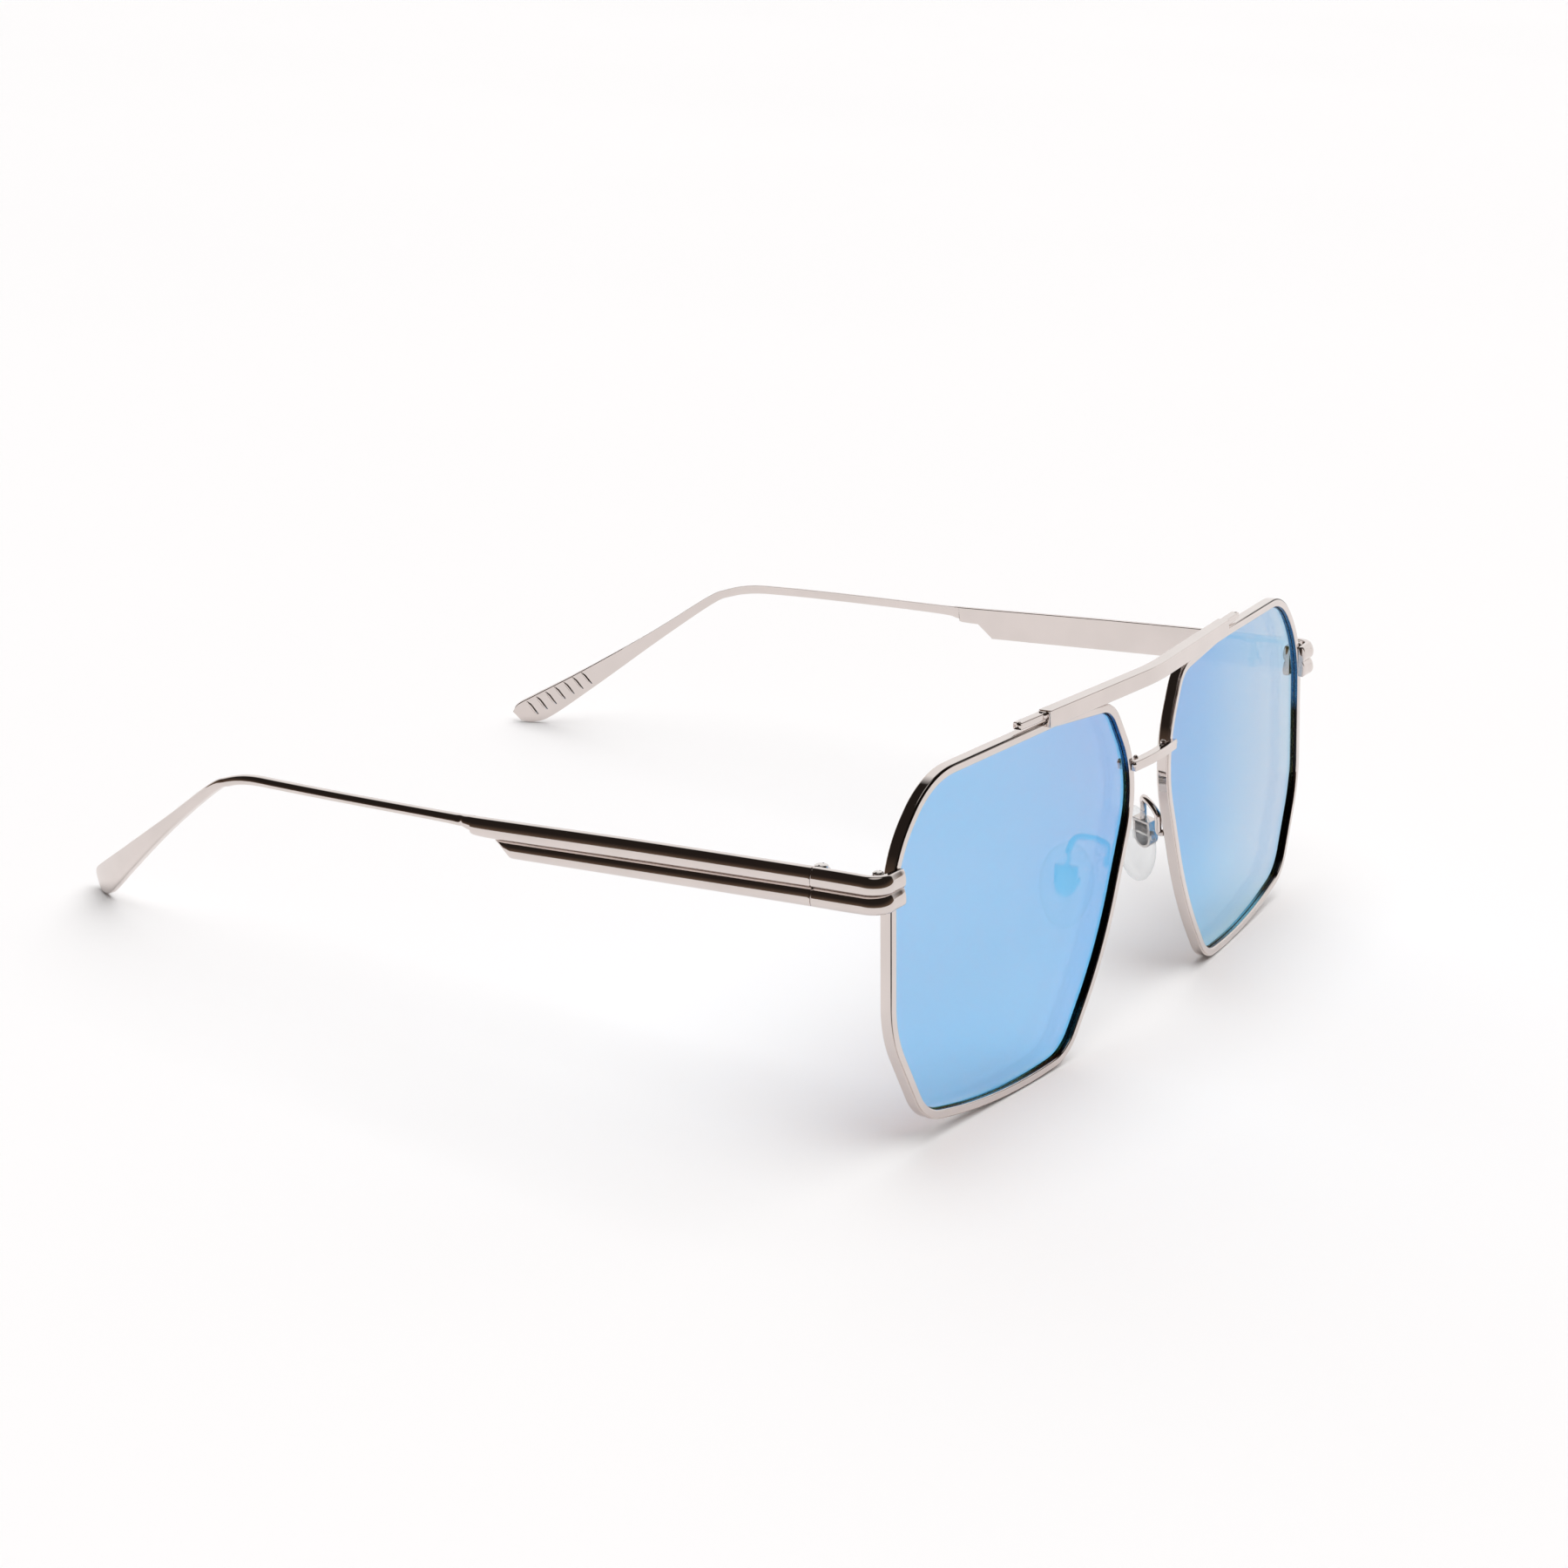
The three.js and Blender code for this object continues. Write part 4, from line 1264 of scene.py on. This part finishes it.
    def build(self) -> None:
        """Makes the temple with its ridges."""
        word = self.side.word
        shells = [Shell(self.upper_rows()), Shell(self.lower_rows())]
        shells += [Shell(rows) for rows in self.ridge_rows()]
        Piece(f"temple_{word}_formed", shells, [self.finishes.metal], f"temple_{word}",
              (f"temple_{word}",), POLISHED).build(self.side)


# ---------------------------------------------------------------- nose pads


@dataclass
class NosePad:
    """A clear pad on its lug, the round-bottomed box it rocks in, its screw and the swan-neck arm."""

    side: Side
    finishes: Finishes
    seat: tuple[float, float, float] = (12.06, 9.85, 22.2)
    facing: tuple[float, float, float] = (-0.91, 0.33, -0.2)
    width: float = 8.2
    height: float = 12.4
    thickness: float = 2.3
    drop: float = 1.0
    pivot: float = 0.95
    box_half_width: float = 1.7
    box_half_height: float = 2.3
    box_wall: float = 0.45
    box_lip: float = 0.42
    box_depth: float = 2.3
    arm_radius: float = 0.5
    arm_foot: tuple[float, float, float] = (9.0, 1.86, 24.9)  # on the rim's back, in the lens plane
    arm_lead: float = 0.7
    arm_knots: tuple[tuple[float, float, float], ...] = ((8.4, 5.7, 27.3), (11.0, 9.2, 28.4))

    def frame(self) -> np.ndarray:
        """Pad axes as rows: across the pad, away from the nose, up the pad.

        Returns:
            Array (3, 3).
        """
        away = -np.array(self.facing) / np.linalg.norm(self.facing)
        up = np.array((0, 0, 1.0)) - away * away[2]
        up /= np.linalg.norm(up)
        return np.array([np.cross(away, up), away, up])

    def place(self, points: np.ndarray) -> np.ndarray:
        """Carries points (..., 3) of the pad's frame to the row frame."""
        return points @ self.frame() + np.array(self.seat) + DATUM

    def pillow_rows(self) -> np.ndarray:
        """The soft pad: rings of a teardrop outline, rounded over from the back to a crowned face.

        Returns:
            Rows (m, n, 3) in the row frame.
        """
        angle = np.linspace(0, 2 * math.pi, 64, endpoint=False)
        across, up = np.cos(angle), np.sin(angle)
        across = across * (1 + 0.1 * up)
        t = np.array((0.15, 0.5, 0.75, 0.86, 0.93, 0.975, 1.0, 0.985, 0.94, 0.86, 0.72, 0.5, 0.2))
        depth = np.array((0.0, 0.0, 0.0, -0.03, -0.15, -0.4, -0.85, -1.3, -1.65, -1.9, -2.1, -2.22,
                          -2.29))
        rows = np.empty((len(t), len(angle), 3))
        rows[..., 0] = t[:, None] * across * self.width / 2 / 1.06
        rows[..., 1] = depth[:, None]
        rows[..., 2] = t[:, None] * up * self.height / 2 - self.drop
        return self.place(rows)

    def lug_rows(self) -> np.ndarray:
        """The small moulded lug on the pad's back: a rounded block whose last rings draw in.

        Returns:
            Rows (m, n, 3) in the row frame.
        """
        square = rounded_profile(((-1.12, -0.78), (1.12, -0.78), (1.12, 0.78), (-1.12, 0.78)), 0.25)
        levels = ((-0.35, 1.0), (1.3, 1.0), (1.4, 0.95), (1.44, 0.85))
        rings = [np.column_stack([square[:, 0] * scale, np.full(len(square), y), square[:, 1] * scale])
                 for y, scale in levels]
        return self.place(np.array(rings))

    def box_outline(self, inset: float) -> np.ndarray:
        """A flat-topped outline with a half-round bottom, moved inwards.

        Args:
            inset: how far it is moved in.

        Returns:
            Array (n, 2) of across and up.
        """
        half, top = self.box_half_width - inset, self.box_half_height - inset
        angle = np.linspace(math.pi, 2 * math.pi, 20)
        middle = self.box_half_width - self.box_half_height
        arc = np.stack([half * np.cos(angle), middle + half * np.sin(angle)], 1)
        return np.vstack([(half, top), (half * 0.9, top), (-half * 0.9, top), (-half, top), arc])

    def box_rows(self) -> np.ndarray:
        """The box as rings from its floor, up the inner wall, over the lip and round the back.

        Returns:
            Rows (m, n, 3) in the row frame.
        """
        wall, lip, deep = self.box_wall, self.box_lip, self.box_depth
        stack = (  # inset, depth
            (wall + 0.6, deep - wall), (wall + 0.1, deep - wall), (wall, deep - wall - 0.1),
            (wall, lip + 0.05), (wall - 0.05, lip), (0.06, lip), (0.0, lip + 0.06), (0.0, deep - 0.3),
            (0.05, deep - 0.12), (0.16, deep - 0.02), (0.26, deep), (0.7, deep),
        )
        rings = []
        for inset, y in stack:
            outline = self.box_outline(inset)
            rings.append(np.column_stack([outline[:, 0], np.full(len(outline), y), outline[:, 1]]))
        return self.place(np.array(rings))

    def arm_rows(self) -> np.ndarray:
        """The swan-neck wire: a tube through its knots, spread at its foot and where it meets the box.

        Returns:
            Rows (m, n, 3) in the row frame.
        """
        root = np.array(self.arm_foot)
        start = on_lens_plane(np.array((root, root + (0, self.arm_lead, 0))))
        top = self.box_half_height
        over = self.place(np.array(((0, 1.2, top + 1.9), (0, 1.1, top + 0.76), (0, 1.1, top + FIT))))
        knots = np.vstack([start, np.array(self.arm_knots) + DATUM, over])
        gaps = np.sqrt(np.linalg.norm(np.diff(knots, axis=0), axis=1))
        at = np.concatenate([[0], np.cumsum(gaps)]) / gaps.sum()
        share = np.linspace(0, 1, 90)
        path = centripetal(knots, at, share)
        ends = np.minimum(share, 1 - share)
        radius = self.arm_radius - 0.1 * np.clip(1 - ends / 0.01, 0, 1)
        return tube(path, radius)

    def build(self) -> None:
        """Makes the pad, the box, the pad screw and the arm."""
        word = self.side.word
        metal = self.finishes.metal
        Piece(f"nose_pad_{word}_soft", [Shell(self.pillow_rows()), Shell(self.lug_rows())],
              [self.finishes.silicone], f"pad_{word}",
              (f"nose_pad_{word}",), "silicone").build(self.side)
        Piece(f"pad_box_{word}_pressed", [Shell(self.box_rows())], [metal], "front",
              (f"pad_box_{word}",), POLISHED).build(self.side)
        Piece(f"pad_arm_{word}_bent", [Shell(self.arm_rows())], [metal], "front",
              (f"pad_arm_{word}",), POLISHED).build(self.side)
        screw = Screw(radius=0.45, head=0.72, head_height=0.4, length=2 * self.box_half_width + FIT)

        def lay(points: np.ndarray) -> np.ndarray:
            """Lays the upright screw along the pad's across axis, through the pivot."""
            x, y, z = np.moveaxis(points, -1, 0)
            return self.place(np.stack([z - self.box_half_width, y + self.pivot, -x], -1))

        Piece(f"pad_screw_{word}_turned", screw.shells(lay),
              [self.finishes.steel, self.finishes.groove], "front",
              (f"pad_screw_{word}",), TURNED).build(self.side)


def centripetal(knots: np.ndarray, at: np.ndarray, share: np.ndarray) -> np.ndarray:
    """Cubic curve through knots at uneven places, with slopes taken from neighbouring knots.

    Args:
        knots: array (n, 3).
        at: place of each knot, from 0 to 1.
        share: places wanted.

    Returns:
        Array (len(share), 3).
    """
    slope = np.gradient(knots, at, axis=0)
    cell = np.clip(np.searchsorted(at, share, side="right") - 1, 0, len(knots) - 2)
    width = (at[cell + 1] - at[cell])[:, None]
    t = (share[:, None] - at[cell][:, None]) / width
    return ((1 + 2 * t) * (1 - t) ** 2 * knots[cell] + t * (1 - t) ** 2 * width * slope[cell]
            + t**2 * (3 - 2 * t) * knots[cell + 1] + t**2 * (t - 1) * width * slope[cell + 1])


# ---------------------------------------------------------------- studio


@dataclass
class Studio:
    """The white table, the soft light, the surroundings that the metal mirrors, and the camera."""

    camera_place: tuple[float, float, float] = (-402.11, -172.14, 178.70)
    azimuth: float = -59.58
    elevation: float = 18.62
    roll: float = -2.87
    focal_length: float = 73.98
    sensor: float = 36.0
    backdrop: Colour = (1.0, 0.995, 0.99)
    backdrop_heading: float = 22.0
    backdrop_edge: tuple[float, float] = (0.48, 0.66)  # cosines over which the room gives way to it
    room: Stops = (  # from the horizon to the ceiling
        (0.0, (0.2, 0.145, 0.105)), (0.18, (0.085, 0.058, 0.042)), (0.4, (0.024, 0.018, 0.015)),
        (0.93, (0.02, 0.016, 0.014)), (0.97, (0.6, 0.58, 0.56)),
    )
    seen_white: float = 0.97
    overhead_strength: float = 2.7
    overhead_colour: Colour = (1.0, 0.993, 0.997)
    overhead_angle: float = 75.0
    overhead_tilt: tuple[float, float] = (8.0, 6.0)
    table_sides: int = 96

    def table(self) -> None:
        """A wide white table with a slightly raised rim far away, so that the horizon stays pale."""
        radius = np.array((0.0001, 0.3, 1.0, 3.0, 6.0, 8.0))
        rise = np.array((0.0, 0.0, 0.0, 0.0, 0.0, 0.25))
        sides, bands = self.table_sides, len(radius) - 1
        angle = np.linspace(0, 2 * math.pi, sides, endpoint=False)
        points = np.stack([radius[:, None] * np.cos(angle), radius[:, None] * np.sin(angle),
                           np.repeat(rise[:, None], sides, 1)], -1).reshape(-1, 3)
        row, side = np.meshgrid(np.arange(bands), np.arange(sides), indexing="ij")
        beside = (side + 1) % sides
        corners = ((row, side), (row + 1, side), (row + 1, beside), (row, beside))
        faces = np.stack([r * sides + c for r, c in corners], -1)
        mesh = bpy.data.meshes.new("table_top")
        mesh.from_pydata(points.tolist(), [], faces.reshape(-1, 4).tolist())
        mesh.materials.append(TableFinish().build())
        top = bpy.data.objects.new("table_top", mesh)
        bpy.context.scene.collection.objects.link(top)

    def surroundings(self) -> None:
        """World light: a bright backdrop behind, a dark room on the camera's left, a bright ceiling."""
        world = bpy.data.worlds.new("studio")
        bpy.context.scene.world = world
        world.use_nodes = True
        tree = world.node_tree
        tree.nodes.clear()
        place = tree.nodes.new("ShaderNodeTexCoord")
        axes = tree.nodes.new("ShaderNodeSeparateXYZ")
        tree.links.new(place.outputs["Generated"], axes.inputs["Vector"])
        towards = tree.nodes.new("ShaderNodeVectorMath")
        towards.operation = "DOT_PRODUCT"
        heading = math.radians(self.backdrop_heading)
        towards.inputs[1].default_value = (math.cos(heading), math.sin(heading), 0)
        tree.links.new(place.outputs["Generated"], towards.inputs[0])
        behind = map_range(tree, towards.outputs["Value"], self.backdrop_edge)
        below = map_range(tree, axes.outputs["Z"], (0.0, -0.02))
        room = ramp(tree, map_range(tree, axes.outputs["Z"], (0.0, 1.0)), self.room)
        mixed = mix_colours(tree, maths(tree, "MAXIMUM", behind, below), room, self.backdrop)
        glow = tree.nodes.new("ShaderNodeBackground")
        tree.links.new(mixed, glow.inputs["Color"])
        plain = tree.nodes.new("ShaderNodeBackground")
        plain.inputs["Color"].default_value = (self.seen_white,) * 3 + (1,)
        seen = tree.nodes.new("ShaderNodeLightPath")
        mix = tree.nodes.new("ShaderNodeMixShader")
        output = tree.nodes.new("ShaderNodeOutputWorld")
        tree.links.new(seen.outputs["Is Camera Ray"], mix.inputs["Fac"])
        tree.links.new(glow.outputs["Background"], mix.inputs[1])
        tree.links.new(plain.outputs["Background"], mix.inputs[2])
        tree.links.new(mix.outputs["Shader"], output.inputs["Surface"])

    def overhead(self) -> None:
        """One very wide soft light from overhead, kept out of the metal's reflections."""
        light = bpy.data.lights.new("overhead", "SUN")
        light.energy = self.overhead_strength
        light.color = self.overhead_colour
        light.angle = math.radians(self.overhead_angle)
        lamp = bpy.data.objects.new("overhead", light)
        lamp.rotation_euler = (*(math.radians(tilt) for tilt in self.overhead_tilt), 0)
        lamp.visible_glossy = False
        bpy.context.scene.collection.objects.link(lamp)

    def camera(self) -> None:
        """The camera: placed by its azimuth, elevation and roll about its own line of sight."""
        azimuth, elevation, roll = (math.radians(a) for a in (self.azimuth, self.elevation, self.roll))
        reach = math.cos(elevation)
        back = Vector((math.sin(azimuth) * reach, -math.cos(azimuth) * reach, math.sin(elevation)))
        level = (-back).cross(Vector((0, 0, 1))).normalized()
        down = (-back).cross(level)
        right = level * math.cos(roll) + down * math.sin(roll)
        up = -(down * math.cos(roll) - level * math.sin(roll))
        data = bpy.data.cameras.new("camera")
        data.lens, data.sensor_width = self.focal_length, self.sensor
        data.clip_start, data.clip_end = 0.01, 100.0
        camera = bpy.data.objects.new("camera", data)
        turn = Matrix((right, up, back)).transposed().to_4x4()
        place = Vector((np.array(self.camera_place) + DATUM) * MM)
        camera.matrix_world = Matrix.Translation(place) @ turn
        bpy.context.scene.collection.objects.link(camera)
        bpy.context.scene.camera = camera

    def build(self) -> None:
        """Sets up the whole studio."""
        self.camera()
        self.table()
        self.surroundings()
        self.overhead()
        bpy.context.scene.view_settings.view_transform = "Standard"


def main() -> None:
    """Builds the studio and the sunglasses, piece by piece."""
    logging.basicConfig(level=logging.INFO, format="%(message)s")
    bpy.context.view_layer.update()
    Studio().build()
    finishes = Finishes()
    FrontBars(finishes).build()
    for side in Side:
        LensAndRim(side, finishes).build()
        EndPiece(side, finishes).build()
        Hinge(side, finishes).build()
        Temple(side, finishes).build()
        NosePad(side, finishes).build()


if __name__ == "__main__":
    main()
